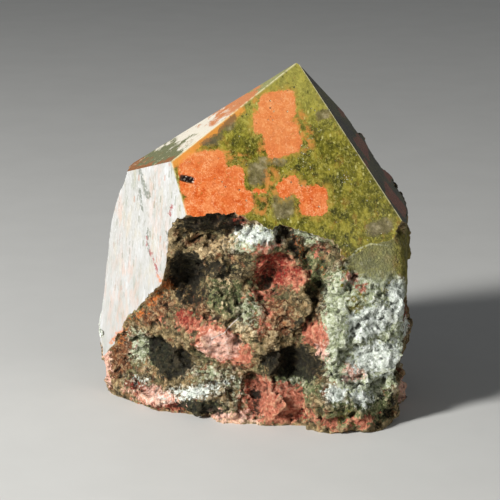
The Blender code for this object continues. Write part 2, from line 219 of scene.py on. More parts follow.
# What the broken rock is made of, place by place: the name of each mineral, and its
# blocks as centre, half-sizes, turn in degrees about Y, and strength. The last, dark, is
# no mineral but painted shade, laid where the stone lies in shadow.
BROKEN_MINERALS = {
    "brown": (
        ((-31.0, -2.0, 9.0), (2.8, 6.0, 7.0), 30.0, 0.9),
        ((-13.0, -11.0, 24.6), (5.0, 7.0, 2.4), 30.0, 0.6),
        ((3.0, -14.5, 22.6), (5.4, 7.0, 4.0), 0.0, 0.8),
        ((-9.0, -12.0, 44.0), (8.0, 6.0, 2.6), 0.0, 0.5),
        ((-4.0, -15.0, 12.5), (4.6, 7.0, 1.8), 0.0, 0.6),
        ((-22.0, -7.0, 22.0), (2.0, 7.0, 5.0), 40.0, 0.8),
        ((14.0, -17.0, 22.5), (4.0, 7.0, 3.0), 0.0, 0.5),
    ),
    "green": (
        ((-13.6, -15.0, 2.4), (5.4, 7.0, 2.0), -8.0, 0.8),
        ((12.8, -13.0, 33.2), (2.6, 8.0, 5.2), -20.0, 0.8),
        ((-6.8, -13.5, 27.5), (4.2, 8.0, 4.4), 0.0, 0.75),
        ((9.0, -18.0, 8.6), (6.8, 8.0, 3.2), 0.0, 0.85),
        ((22.0, -22.0, 4.8), (8.0, 9.0, 3.6), 0.0, 0.9),
        ((-1.0, -14.0, 25.6), (2.6, 7.0, 4.5), 0.0, 0.65),
        ((22.0, -16.0, 31.4), (7.0, 8.0, 3.2), 0.0, 0.8),
        ((24.0, -17.0, 19.0), (6.0, 9.0, 2.2), 20.0, 0.6),
        ((-22.0, -3.0, 12.0), (3.6, 8.0, 4.0), 0.0, 0.6),
        ((3.4, -11.0, 37.6), (7.0, 7.0, 2.0), 0.0, 0.4),
        ((13.0, -13.0, 41.0), (5.0, 6.0, 2.0), 25.0, 0.6),
    ),
    "pale_green": (
        ((23.5, -17.0, 21.0), (9.5, 14.0, 14.5), 0.0, 0.85),
        ((10.5, -12.0, 40.6), (3.6, 6.0, 1.6), 20.0, 0.7),
        ((-0.4, -15.0, 40.6), (5.6, 6.0, 2.8), -8.0, 0.85),
        ((-26.4, 0.0, 12.0), (2.6, 9.0, 4.4), 0.0, 0.7),
        ((7.5, -16.0, 9.0), (4.5, 7.0, 1.6), -10.0, 0.45),
        ((-4.5, -15.0, 6.5), (4.0, 7.0, 3.2), 10.0, 0.4),
        ((-1.5, -13.5, 24.0), (3.2, 7.0, 3.6), 0.0, 0.45),
        ((-10.5, -14.0, 9.5), (5.5, 7.0, 2.2), 0.0, 0.45),
    ),
    "sugar": (
        ((31.2, -13.0, 26.8), (2.7, 9.0, 4.2), -12.0, 1.0),
        ((24.6, -17.0, 23.0), (5.6, 9.0, 3.4), -20.0, 0.9),
        ((26.0, -18.0, 15.4), (5.8, 9.0, 3.4), 0.0, 0.8),
        ((17.0, -24.0, 9.0), (2.4, 8.0, 1.5), 10.0, 1.0),
        ((22.6, -22.5, 7.6), (2.3, 8.0, 1.4), 35.0, 1.0),
        ((28.0, -17.0, 11.2), (4.2, 8.0, 0.8), -12.0, 0.8),
        ((33.0, -11.0, 19.5), (2.0, 8.0, 1.6), -30.0, 0.8),
        ((-13.4, -13.6, 5.7), (6.6, 8.0, 1.1), -19.0, 0.85),
        ((-26.0, 0.0, 4.2), (2.2, 7.0, 0.9), 0.0, 0.7),
        ((-37.0, 4.0, 20.0), (2.6, 9.0, 9.0), 0.0, 1.0),
        ((-0.2, -15.0, 41.4), (4.4, 6.0, 1.9), -8.0, 0.85),
    ),
    "beige": (
        ((-8.6, -11.5, 38.4), (6.6, 7.0, 1.0), -24.0, 0.9),
        ((-6.4, -13.0, 30.6), (3.4, 7.0, 2.4), 0.0, 0.45),
        ((-2.5, -16.0, 20.0), (3.0, 7.0, 3.0), 0.0, 0.5),
        ((3.3, -17.0, 19.2), (1.0, 6.0, 2.0), 20.0, 1.0),
        ((-8.0, -13.5, 24.5), (3.0, 7.0, 1.2), -35.0, 0.5),
    ),
    "salmon": (
        ((-13.4, -13.0, 20.6), (4.6, 8.0, 1.8), 0.0, 0.75),
        ((-8.8, -15.5, 17.6), (5.2, 9.0, 4.0), 24.0, 0.9),
        ((-3.8, -16.5, 15.0), (3.0, 8.0, 3.0), 0.0, 0.75),
        ((4.6, -12.0, 33.0), (4.6, 8.0, 4.8), 0.0, 0.65),
        ((1.2, -12.0, 27.2), (2.8, 7.0, 1.2), 8.0, 0.85),
        ((9.4, -14.0, 31.2), (3.2, 7.0, 1.4), -38.0, 0.85),
        ((12.7, -18.0, 19.8), (2.6, 8.0, 3.0), 0.0, 0.95),
        ((3.6, -18.5, 5.0), (7.2, 9.0, 4.6), 10.0, 0.85),
        ((14.0, -22.0, 3.0), (4.5, 8.0, 1.6), 14.0, 0.8),
        ((22.0, -24.0, 2.4), (3.2, 8.0, 1.2), -8.0, 0.9),
        ((-23.6, -6.0, 2.2), (5.6, 9.0, 2.0), -6.0, 0.65),
        ((-18.6, -11.0, 2.0), (2.0, 7.0, 1.6), 0.0, 0.9),
        ((1.8, -13.0, 24.2), (2.0, 6.0, 1.2), 0.0, 0.6),
        ((2.6, -14.0, 21.4), (2.0, 6.0, 1.2), 0.0, 0.6),
        ((1.8, -15.5, 38.4), (3.6, 7.0, 1.3), 0.0, 0.75),
        ((13.2, -12.0, 37.2), (1.8, 6.0, 1.6), 30.0, 0.6),
        ((-20.5, -6.0, 20.0), (2.0, 7.0, 1.4), 0.0, 0.5),
        ((20.5, -14.5, 32.2), (1.6, 5.0, 1.0), 0.0, 0.8),
        ((22.9, -16.5, 29.6), (1.3, 5.0, 1.2), 0.0, 0.6),
    ),
    "flesh": (
        ((21.3, -21.0, 12.5), (2.5, 8.0, 1.8), 0.0, 0.95),
        ((-5.2, -18.0, 1.3), (4.4, 8.0, 1.3), 0.0, 1.0),
        ((-8.4, -16.0, 16.8), (4.4, 7.0, 3.6), 20.0, 0.9),
        ((14.1, -19.0, 16.6), (1.4, 7.0, 1.4), 0.0, 0.8),
        ((31.6, -6.0, 4.2), (3.4, 7.0, 3.6), 0.0, 0.9),
        ((-27.0, -3.0, 2.0), (3.4, 9.0, 1.4), 10.0, 0.5),
        ((-21.6, -9.0, 2.8), (5.4, 7.0, 1.5), -8.0, 1.0),
        ((-34.8, 2.0, 7.0), (1.8, 6.0, 6.0), 0.0, 0.75),
        ((2.4, -15.5, 40.0), (2.2, 7.0, 1.2), 0.0, 0.7),
        ((19.8, -14.5, 31.6), (1.8, 5.0, 0.8), 0.0, 0.6),
    ),
    "red": (
        ((-15.6, -11.0, 22.0), (1.9, 7.0, 1.5), 0.0, 1.0),
        ((3.2, -10.5, 33.2), (3.8, 6.0, 4.2), 0.0, 0.9),
        ((8.6, -13.0, 32.8), (1.8, 6.0, 1.6), 0.0, 0.7),
        ((-4.3, -12.5, 44.2), (1.7, 6.0, 1.7), -10.0, 0.9),
        ((34.0, -6.0, 21.0), (1.8, 8.0, 2.2), 0.0, 0.8),
        ((-17.6, -11.0, 1.4), (1.8, 6.0, 0.9), 0.0, 0.9),
        ((-22.0, -8.0, 1.2), (3.0, 6.0, 0.7), 0.0, 0.8),
        ((-27.4, -4.0, 3.6), (2.0, 7.0, 1.2), 30.0, 0.7),
        ((9.8, -19.5, 2.6), (2.4, 7.0, 1.4), 0.0, 0.6),
        ((1.6, -12.0, 23.0), (1.0, 5.0, 0.8), 0.0, 0.8),
    ),
    "rust": (
        ((-19.4, -8.6, 28.6), (1.5, 6.0, 1.2), 0.0, 1.0),
        ((-22.4, -7.6, 25.4), (0.9, 6.0, 2.6), 40.0, 0.9),
        ((-26.0, -4.4, 20.6), (0.8, 6.0, 3.0), 45.0, 0.7),
        ((-31.0, -1.0, 13.0), (0.8, 4.0, 3.4), 35.0, 0.6),
        ((8.8, -13.0, 38.6), (0.8, 5.0, 2.6), -25.0, 0.7),
        ((14.0, -14.5, 33.4), (1.0, 5.0, 1.4), 0.0, 0.5),
    ),
    "olive": (
        ((25.0, -13.0, 36.0), (6.5, 6.0, 3.6), -4.0, 0.9),
        ((32.8, -6.0, 31.0), (2.2, 10.0, 8.0), -6.0, 0.9),
        ((21.6, -17.0, 27.4), (2.4, 7.0, 3.0), 0.0, 0.55),
        ((25.5, -19.0, 17.6), (1.6, 7.0, 1.4), 0.0, 0.6),
        ((28.5, -17.0, 29.4), (1.6, 7.0, 2.0), 0.0, 0.5),
        ((18.0, -23.0, 3.8), (3.6, 7.0, 1.8), 0.0, 0.5),
    ),
    # Painted shade: dark blocks laid where the stone lies in shadow, in its hollows, cracks and recesses.
    "dark": (
        ((-9.8, -12.0, 43.8), (8.0, 6.0, 2.9), 0.0, 0.75),
        ((-15.2, -8.0, 32.2), (3.8, 8.0, 4.8), 10.0, 1.0),
        ((-14.5, -9.5, 26.5), (3.6, 8.0, 2.6), 0.0, 0.6),
        ((2.6, -10.0, 30.4), (1.7, 7.0, 2.2), 0.0, 0.55),
        ((13.2, -13.5, 26.8), (3.0, 7.0, 2.0), 0.0, 0.45),
        ((7.8, -15.0, 13.0), (6.8, 9.0, 3.6), 5.0, 0.9),
        ((-19.4, -5.0, 11.4), (5.8, 9.0, 4.2), 0.0, 1.0),
        ((28.6, -19.5, 5.0), (3.6, 9.0, 4.0), -12.0, 0.4),
        ((30.5, 3.0, 50.0), (6.0, 9.0, 12.0), 0.0, 0.7),
        ((-12.6, -15.0, 2.5), (5.2, 7.0, 1.9), -8.0, 0.95),
        ((7.8, -12.0, 38.6), (1.2, 5.0, 4.0), -25.0, 0.85),
        ((-0.4, -13.5, 3.4), (0.8, 6.0, 2.4), 0.0, 0.9),
        ((14.6, -15.0, 37.2), (1.6, 6.0, 1.4), 0.0, 0.5),
        ((9.0, -17.0, 22.0), (2.4, 7.0, 2.0), 0.0, 0.55),
        ((-8.0, -12.0, 33.4), (5.4, 7.0, 2.8), 0.0, 0.62),
        ((-11.0, -10.0, 27.4), (3.6, 7.0, 2.2), 0.0, 0.5),
        ((-21.5, -6.0, 19.5), (3.2, 8.0, 1.4), 30.0, 0.5),
        ((-3.0, -12.0, 34.6), (2.2, 7.0, 1.4), 0.0, 0.5),
    ),
}
# How softly each block of broken rock ends, and how squarely.
BLOCK_EDGE = 2.6
BLOCK_POWER = 3.0
# Minerals spread over the sides that face away: size and share of each.
HIDDEN_MINERALS = {
    "salmon": (13.0, 0.12),
    "pale_green": (16.0, 0.16),
    "green": (11.0, 0.14),
    "brown": (19.0, 0.10),
    "sugar": (9.0, 0.36),
}
# How far back on the stone the hidden sides begin, over what distance, and how steeply a
# cloud of mineral begins there.
HIDDEN_START = 9.0
HIDDEN_FADE = 8.0
HIDDEN_STEEPNESS = 4.0

# Bands on the front face beside its left edge: the start, end and width of each line, and
# the colour and strength of the band.
EDGE_BANDS = (
    (
        (
            ((-18.6, -9.0, 56.0), (-3.5, -2.0, 66.6), 1.25),
            ((-12.5, -7.0, 60.8), (-3.5, -2.0, 66.9), 1.1),
        ),
        (216, 140, 62),
        0.8,
    ),
    (
        (
            ((-11.5, -8.0, 60.2), (-8.0, -6.0, 61.6), 0.9),
            ((-7.8, -5.0, 62.6), (-5.0, -5.0, 65.2), 0.8),
        ),
        (84, 76, 58),
        0.7,
    ),
)
# Ochre fringes of the feldspar on the front face.
OCHRE_BLOCKS = (
    ((8.6, -3.0, 64.2), (2.2, 14.0, 1.8), 0.0),
    ((2.4, -6.0, 58.2), (2.2, 14.0, 1.2), -30.0),
    ((0.2, -3.0, 66.0), (1.0, 14.0, 3.0), 0.0),
    ((11.0, -4.0, 60.6), (1.4, 14.0, 2.4), 10.0),
    ((-15.4, -9.0, 58.2), (2.4, 14.0, 1.6), 30.0),
    ((3.2, -9.0, 52.2), (1.6, 14.0, 2.6), 0.0),
    ((10.2, -9.0, 50.6), (1.6, 14.0, 1.4), 0.0),
    ((0.8, -12.0, 47.0), (1.4, 14.0, 2.0), 0.0),
    ((-6.0, -7.0, 57.6), (3.6, 14.0, 0.9), -10.0),
)
# Pale rims of the front face, wear and painted highlights along its edges: the number of the ground plane
# beyond each, and its width.
FRONT_RIMS = ((1, 0.42), (2, 0.18), (5, 0.4))
# Zones of the left face of the point: how far from the tip each begins, its colour and
# its strength. The near-white zone is a painted highlight where the face catches the main light.
LEFT_FACE_ZONES = (
    (1.5, (150, 152, 104), 0.7),
    (11.0, (208, 128, 80), 0.9),
    (21.0, (230, 224, 206), 0.95),
    (31.0, (84, 90, 38), 0.9),
    (39.0, (146, 84, 44), 0.8),
)
# How softly each zone begins.
ZONE_SOFTNESS = 1.2
# Clouds in the green stone: shift, size, strength and colour.
EPIDOTE_CLOUDS = (
    ((40.0, 0.0, 0.0), 2.0, 0.45, (140, 98, 36)),
    ((0.0, 60.0, 0.0), 2.0, 0.70, (38, 40, 12)),
    ((0.0, 0.0, 90.0), 0.9, 0.45, (158, 152, 54)),
    ((30.0, 30.0, 0.0), 0.5, 0.40, (186, 176, 88)),
)
# Clouds in the broken rock: shift, size, strength and colour.
ROCK_CLOUDS = (
    ((70.0, 0.0, 0.0), 5.0, 0.55, (118, 120, 82)),
    ((0.0, 80.0, 0.0), 3.6, 0.60, (150, 112, 74)),
    ((0.0, 0.0, 50.0), 2.4, 0.45, (142, 74, 50)),
    ((20.0, 50.0, 0.0), 1.7, 0.55, (38, 38, 18)),
)
# Clusters of open pits on the polished front, and a chip out of its left edge; both are coloured with painted
# shade, and the pits with painted glints too.
PIT_CLUSTERS = (
    ((19.3, -6.8, 52.1), (1.8, 6.0, 1.4), 0.0),
    ((10.6, -5.0, 56.0), (1.3, 6.0, 2.6), 10.0),
    ((13.0, -3.0, 61.5), (1.2, 6.0, 1.6), 0.0),
    ((3.0, -5.0, 64.6), (0.9, 6.0, 0.5), 0.0),
)
CHIPS = (
    ((-14.9, -12.0, 53.3), (1.5, 6.0, 0.6), -14.0),
)
# Faint pink washes on the side face.
PINK_WASHES = (
    ((-22.0, -6.0, 49.0), (1.8, 12.0, 8.0), 4.0),
    ((-29.0, -1.0, 28.0), (3.0, 12.0, 6.0), 0.0),
    ((-20.5, -8.0, 36.0), (2.4, 12.0, 7.0), 0.0),
    ((-31.5, 1.0, 20.0), (3.0, 12.0, 7.0), 10.0),
    ((-31.0, 2.0, 45.0), (1.6, 12.0, 7.0), 8.0),
)
# Thin marks on the side face: the lines, their colour and their strength.
SIDE_STREAKS = (
    (
        (
            ((-25.6, -3.0, 52.6), (-23.8, -4.0, 47.6), 0.8),
            ((-25.6, -3.0, 49.0), (-25.2, -4.0, 44.4), 0.5),
            ((-24.0, -4.0, 41.0), (-23.6, -4.0, 35.0), 0.3),
            ((-19.6, -9.0, 41.0), (-18.8, -9.0, 35.0), 0.4),
        ),
        (86, 92, 78),
        0.75,
    ),
    (
        (
            ((-18.2, -12.0, 47.6), (-18.9, -12.0, 45.2), 0.28),
            ((-23.4, -7.0, 36.0), (-22.6, -8.0, 33.6), 0.36),
            ((-22.6, -8.0, 33.6), (-21.4, -9.0, 31.0), 0.34),
            ((-24.2, -5.0, 38.6), (-24.0, -5.0, 36.6), 0.3),
        ),
        (136, 34, 34),
        0.8,
    ),
    (
        (
            ((-20.4, -9.0, 28.4), (-23.6, -6.4, 23.6), 1.0),
            ((-23.6, -6.4, 23.6), (-27.0, -3.2, 19.4), 0.8),
            ((-27.0, -3.2, 19.4), (-33.2, 2.6, 11.6), 0.7),
            ((-21.4, -9.0, 31.0), (-20.2, -9.0, 28.6), 0.7),
        ),
        (186, 104, 46),
        0.8,
    ),
)
# The pale edge below the polished face, at its right: wear, and a painted highlight where the edge catches
# light.
WORN_EDGE_HIGHLIGHT = (
    ((18.6, -14.0, 34.6), (21.8, -13.0, 38.0), 0.3),
    ((21.8, -13.0, 38.0), (24.8, -12.6, 39.0), 0.24),
    ((24.8, -12.6, 39.0), (28.6, -12.4, 38.4), 0.24),
)
# A pale fibre of lint on the broken rock.
LINT = (
    ((-9.8, -15.6, 18.4), (-7.2, -15.6, 19.9), 0.2),
    ((-7.2, -15.6, 19.9), (-4.0, -15.6, 22.9), 0.17),
)
# Dark, middle and light shade of each mineral of the broken rock, from the first laid to
# the last, and the grain of its border. The last, dark, is the painted shade of the dark blocks.
MINERAL_SHADES = {
    "brown": (((48, 26, 12), (104, 62, 36), (160, 110, 70)), 1.6),
    "green": (((34, 40, 20), (86, 94, 56), (142, 148, 106)), 1.6),
    "pale_green": (((84, 96, 54), (164, 170, 134), (222, 226, 206)), 1.2),
    "olive": (((84, 78, 22), (124, 114, 40), (160, 148, 76)), 1.4),
    "beige": (((112, 88, 54), (172, 146, 106), (216, 198, 160)), 0.9),
    "salmon": (((120, 54, 38), (182, 104, 80), (218, 154, 126)), 1.3),
    "flesh": (((186, 122, 102), (224, 172, 152), (242, 212, 198)), 1.0),
    "rust": (((120, 56, 24), (182, 98, 42), (206, 140, 70)), 0.7),
    "red": (((76, 20, 14), (136, 46, 34), (178, 84, 62)), 0.8),
    "sugar": (((150, 160, 142), (214, 220, 208), (246, 248, 244)), 1.0),
    # Painted shade of the dark blocks.
    "dark": (((6, 7, 3), (18, 18, 8), (52, 48, 26)), 1.5),
}
# Places smoothed for the outline only: centre and half-sizes.
SMOOTH_PLACES = (
    ((-34.0, 9.0, 36.0), (7.0, 12.0, 26.0)),
)
# The border below which the side isn't ground: azimuth and tilt of its upward normal, and
# a point on it.
SIDE_BORDER = (135.0, 45.0, (-27.2, -3.2, 18.4))
# A face belongs to a ground plane when it lies this near it and faces this nearly its way.
FLATNESS = 0.02
FACING = 0.999
# How much the grain cell is stretched from one try at the ground faces to the next.
CELL_STRETCHES = (1.0, 1.007, 0.993, 1.013)
# Rounds of smoothing that tell small pits and larger hollows from the surface round them.
PIT_ROUNDS = 10
HOLLOW_ROUNDS = 160

# A place this near a ground face, in metres, counts as inside it.
ON_GROUND = 1e-7

# Borders of the minerals in the polished faces and of the marks on the side: size and
# height of their waves, and size and pull of their crystals.
POLISHED_BORDERS = (1.6, 0.5, 0.42, 1.0)
SIDE_MARK_BORDERS = (2.5, 0.5, 0.6, 0.6)
# Softness of a speck's border, and size of the grains of the broken rock's colours.
SPECK_SOFTNESS = 0.15
ROCK_GRAIN = 0.6
# Heights of the bumps of the three finishes, in metres.
POLISH_BUMP = 0.00025
SIDE_BUMP = 0.00012
ROCK_BUMP = 0.0005
# The middle of the range of a random colour, taken as a vector.
HALF_WAY = (0.5, 0.5, 0.5)
# How nodes are laid out in a tree: how many in a row, and the room that each takes.
NODES_IN_ROW = 12
NODE_WIDTH = 180.0
NODE_HEIGHT = 320.0

# The soft lights: direction from the stone, and distance and size in metres.
MAIN_LIGHT = ((-0.72, -0.56, 0.42), 0.75, 0.14)
FILL_LIGHT = ((0.75, -0.6, 0.35), 0.9, 0.7)


def paint(red, green, blue):
    """A colour as seen on a screen, from 0 to 255, turned into the linear values of a node."""
    linear = []
    for part in (red, green, blue):
        share = part / 255.0
        linear.append(share / 12.92 if share <= 0.04045 else ((share + 0.055) / 1.055) ** 2.4)
    return (*linear, 1.0)


class Recipe:
    """A node tree being filled: each call adds a node and gives back what it puts out."""

    def __init__(self, tree, groups=None):
        self.tree = tree
        self.groups = groups
        self.count = 0

    def input(self, name, kind, value=None):
        """Adds a named input to the tree, with its default."""
        socket = self.tree.interface.new_socket(name, in_out="INPUT", socket_type=kind)
        if value is not None:
            socket.default_value = value

    def output(self, name, kind):
        """Adds a named output to the tree."""
        self.tree.interface.new_socket(name, in_out="OUTPUT", socket_type=kind)

    def inputs(self):
        """The tree's own inputs, to be read by name."""
        return self.node("NodeGroupInput").outputs

    def result(self, **values):
        """Feeds the tree's outputs by name."""
        end = self.node("NodeGroupOutput")
        for name, value in values.items():
            self.feed(end.inputs[name], value)

    def node(self, kind, values=None, **settings):
        """Adds a node with its settings, and feeds its inputs by name or number."""
        made = self.tree.nodes.new(kind)
        row, column = divmod(self.count, NODES_IN_ROW)
        made.location = (column * NODE_WIDTH, -row * NODE_HEIGHT)
        self.count += 1
        for name, value in settings.items():
            setattr(made, name, value)
        for key, value in (values or {}).items():
            self.feed(made.inputs[key], value)
        return made

    def feed(self, socket, value):
        """Joins a socket to another node's output, or sets its own value."""
        if isinstance(value, bpy.types.NodeSocket):
            self.tree.links.new(value, socket)
        else:
            socket.default_value = value

    def maths(self, operation, first, second=0.0, clamp=False):
        """The result of one sum on numbers."""
        values = {0: first, 1: second}
        made = self.node("ShaderNodeMath", values, operation=operation, use_clamp=clamp)
        return made.outputs["Value"]

    def vector(self, operation, first, second=(0.0, 0.0, 0.0), scale=None):
        """The result of one sum on vectors; a number for a length or a dot product."""
        values = {0: first, 1: second}
        if scale is not None:
            values["Scale"] = scale
        made = self.node("ShaderNodeVectorMath", values, operation=operation)
        single = operation in ("DOT_PRODUCT", "LENGTH", "DISTANCE")
        return made.outputs["Value" if single else "Vector"]

    def spread(self, value, low, high, to_low=0.0, to_high=1.0):
        """A value taken softly from one range to another, and kept inside it."""
        values = {
            "Value": value,
            "From Min": low,
            "From Max": high,
            "To Min": to_low,
            "To Max": to_high,
        }
        made = self.node("ShaderNodeMapRange", values, interpolation_type="SMOOTHSTEP")
        return made.outputs["Result"]

    def mix(self, share, first, second):
        """One colour laid over another by a share."""
        values = {0: share, 6: first, 7: second}
        return self.node("ShaderNodeMix", values, data_type="RGBA").outputs[2]

    def times(self, first, second):
        """One number times another."""
        return self.maths("MULTIPLY", first, second)

    def part(self, place, axis):
        """One coordinate of a place."""
        return self.node("ShaderNodeSeparateXYZ", {"Vector": place}).outputs[axis]

    def scale(self, size):
        """The scale of a texture whose clouds or cells are about one size across."""
        if isinstance(size, bpy.types.NodeSocket):
            return self.maths("DIVIDE", 1.0, size)
        return 1.0 / size

    def noise(self, place, size, detail=3.0, rough=0.6, output="Fac"):
        """Cloudy noise whose largest clouds are about one size across."""
        values = {
            "Vector": place,
            "Scale": self.scale(size),
            "Detail": detail,
            "Roughness": rough,
        }
        return self.node("ShaderNodeTexNoise", values).outputs[output]

    def cells(self, place, size, **settings):
        """What a texture of scattered cells puts out, each cell about one size across."""
        values = {"Vector": place, "Scale": self.scale(size)}
        return self.node("ShaderNodeTexVoronoi", values, **settings).outputs

    def chances(self, cells):
        """Three random numbers for every cell, as Red, Green and Blue."""
        return self.node("ShaderNodeSeparateColor", {"Color": cells["Color"]}).outputs

    def most(self, values):
        """The largest of several values."""
        top = values[0]
        for value in values[1:]:
            top = self.maths("MAXIMUM", top, value)
        return top

    def group(self, name, values):
        """Adds one of the shader node groups and gives back its outputs."""
        return self.node("ShaderNodeGroup", values, node_tree=self.groups[name]).outputs


VECTOR = "NodeSocketVector"
NUMBER = "NodeSocketFloat"
COLOUR = "NodeSocketColor"


def new_group(name, inputs, outputs):
    """A shader node group with its sockets, as a recipe ready to fill."""
    recipe = Recipe(bpy.data.node_groups.new(name, "ShaderNodeTree"))
    for socket, kind, value in inputs:
        recipe.input(socket, kind, value)
    for socket, kind in outputs:
        recipe.output(socket, kind)
    return recipe


def mineral_patch_group():
    """A rounded block of mineral in space, turned about Y: 1 inside it and 0 outside."""
    recipe = new_group(
        "mineral_patch",
        (
            ("Position", VECTOR, None),
            ("Centre", VECTOR, None),
            ("Half Size", VECTOR, (1.0, 1.0, 1.0)),
            ("Turn", NUMBER, 0.0),
            ("Softness", NUMBER, 0.1),
        ),
        (("Mask", NUMBER),),
    )
    given = recipe.inputs()
    turned = recipe.node(
        "ShaderNodeVectorRotate",
        {"Vector": given["Position"], "Center": given["Centre"], "Angle": given["Turn"]},
        rotation_type="Y_AXIS",
    )
    offset = recipe.vector("SUBTRACT", turned.outputs["Vector"], given["Centre"])
    scaled = recipe.vector("DIVIDE", offset, given["Half Size"])
    squared = recipe.vector("MULTIPLY", scaled, scaled)
    total = recipe.vector("DOT_PRODUCT", squared, squared)
    radius = recipe.maths("POWER", total, 0.25)
    inner = recipe.maths("SUBTRACT", 1.0, given["Softness"])
    outer = recipe.maths("ADD", 1.0, given["Softness"])
    recipe.result(Mask=recipe.spread(radius, inner, outer, 1.0, 0.0))
    return recipe.tree


def ragged_position_group():
    """A place shifted in waves and then towards the middle of its crystal, for ragged edges."""
    recipe = new_group(
        "ragged_position",
        (
            ("Position", VECTOR, None),
            ("Wave Size", NUMBER, 3.0),
            ("Wave Height", NUMBER, 0.6),
            ("Crystal Size", NUMBER, 1.2),
            ("Crystal Pull", NUMBER, 0.7),
        ),
        (("Position", VECTOR),),
    )
    given = recipe.inputs()
    waves = recipe.noise(given["Position"], given["Wave Size"], 3.0, 0.5, output="Color")
    shift = recipe.vector("SUBTRACT", waves, HALF_WAY)
    height = recipe.times(given["Wave Height"], 2.0)
    waved = recipe.vector("ADD", given["Position"], recipe.vector("SCALE", shift, scale=height))
    crystals = recipe.cells(waved, given["Crystal Size"])
    pull = recipe.vector("SUBTRACT", crystals["Position"], waved)
    pulled = recipe.vector("SCALE", pull, scale=given["Crystal Pull"])
    recipe.result(Position=recipe.vector("ADD", waved, pulled))
    return recipe.tree


def edge_closeness_group():
    """How close a place is to a flat face: 1 on it, and 0 one width or more behind it."""
    recipe = new_group(
        "edge_closeness",
        (
            ("Position", VECTOR, None),
            ("Face Point", VECTOR, None),
            ("Face Normal", VECTOR, (0.0, 0.0, 1.0)),
            ("Width", NUMBER, 0.4),
        ),
        (("Mask", NUMBER),),
    )
    given = recipe.inputs()
    offset = recipe.vector("SUBTRACT", given["Face Point"], given["Position"])
    depth = recipe.vector("DOT_PRODUCT", offset, given["Face Normal"])
    recipe.result(Mask=recipe.spread(depth, 0.0, given["Width"], 1.0, 0.0))
    return recipe.tree


def mineral_specks_group():
    """Small crystals scattered at random: where they are, and a random shade for each."""
    recipe = new_group(
        "mineral_specks",
        (
            ("Position", VECTOR, None),
            ("Size", NUMBER, 1.0),
            ("Share", NUMBER, 0.1),
            ("Fill", NUMBER, 0.5),
        ),
        (("Mask", NUMBER), ("Shade", NUMBER)),
    )
    given = recipe.inputs()
    crystals = recipe.cells(given["Position"], given["Size"], distance="CHEBYCHEV")
    chances = recipe.chances(crystals)
    chosen = recipe.maths("LESS_THAN", chances["Red"], given["Share"])
    outer = recipe.maths("ADD", given["Fill"], SPECK_SOFTNESS)
    inside = recipe.spread(crystals["Distance"], given["Fill"], outer, 1.0, 0.0)
    recipe.result(Mask=recipe.times(chosen, inside), Shade=chances["Green"])
    return recipe.tree


def mottle_group():
    """Three shades of one mineral run together in clouds with fine detail."""
    recipe = new_group(
        "mottle",
        (
            ("Position", VECTOR, None),
            ("Size", NUMBER, 2.0),
            ("Dark", COLOUR, (0.1, 0.1, 0.1, 1.0)),
            ("Middle", COLOUR, (0.3, 0.3, 0.3, 1.0)),
            ("Light", COLOUR, (0.6, 0.6, 0.6, 1.0)),
            ("Contrast", NUMBER, 0.16),
        ),
        (("Colour", COLOUR),),
    )
    given = recipe.inputs()
    clouds = recipe.noise(given["Position"], given["Size"], 5.0, 0.68)
    low = recipe.maths("SUBTRACT", 0.5, given["Contrast"])
    high = recipe.maths("ADD", 0.5, given["Contrast"])
    below = recipe.spread(clouds, low, 0.5)
    above = recipe.spread(clouds, 0.5, high)
    colour = recipe.mix(below, given["Dark"], given["Middle"])
    recipe.result(Colour=recipe.mix(above, colour, given["Light"]))
    return recipe.tree


def streak_mark_group():
    """A thin line between two places, seen from the front: 1 along it and 0 beside it."""
    recipe = new_group(
        "streak_mark",
        (
            ("Position", VECTOR, None),
            ("Start", VECTOR, None),
            ("End", VECTOR, (0.0, 0.0, 1.0)),
            ("Width", NUMBER, 0.3),
        ),
        (("Mask", NUMBER),),
    )
    given = recipe.inputs()
    front = (1.0, 0.0, 1.0)
    place = recipe.vector("MULTIPLY", given["Position"], front)
    start = recipe.vector("MULTIPLY", given["Start"], front)
    end = recipe.vector("MULTIPLY", given["End"], front)
    along = recipe.vector("SUBTRACT", end, start)
    offset = recipe.vector("SUBTRACT", place, start)
    reach = recipe.vector("DOT_PRODUCT", offset, along)
    length = recipe.vector("DOT_PRODUCT", along, along)
    share = recipe.maths("DIVIDE", reach, length, clamp=True)
    nearest = recipe.vector("SCALE", along, scale=share)
    distance = recipe.vector("DISTANCE", offset, nearest)
    edge = recipe.times(given["Width"], 0.4)
    recipe.result(Mask=recipe.spread(distance, edge, given["Width"], 1.0, 0.0))
    return recipe.tree


def dissolve_group():
    """Turns a soft cover into a firm mask whose border breaks up into grains."""
    recipe = new_group(
        "dissolve",
        (
            ("Cover", NUMBER, 0.0),
            ("Position", VECTOR, None),
            ("Grain", NUMBER, 1.0),
            ("Break Up", NUMBER, 0.8),
        ),
        (("Mask", NUMBER),),
    )
    given = recipe.inputs()
    grains = recipe.noise(given["Position"], given["Grain"], 4.0, 0.7)
    shift = recipe.maths("SUBTRACT", grains, 0.5)
    shift = recipe.times(shift, recipe.times(given["Break Up"], 2.0))
    present = recipe.spread(given["Cover"], 0.0, 0.2)
    shifted = recipe.maths("ADD", given["Cover"], recipe.times(shift, present))
    recipe.result(Mask=recipe.spread(shifted, 0.38, 0.62))
    return recipe.tree


def outward(azimuth, tilt):
    """Unit normal that points along an azimuth, tilted up from level, both in degrees."""
    turn = math.radians(azimuth)
    rise = math.radians(tilt)
    level = math.cos(rise)
    return np.array([math.cos(turn) * level, math.sin(turn) * level, math.sin(rise)])


def above_plane(points, face):
    """Height of each point above a face given by azimuth, tilt and a point on it."""
    azimuth, tilt, on_face = face
    return (points - np.array(on_face)) @ outward(azimuth, tilt)


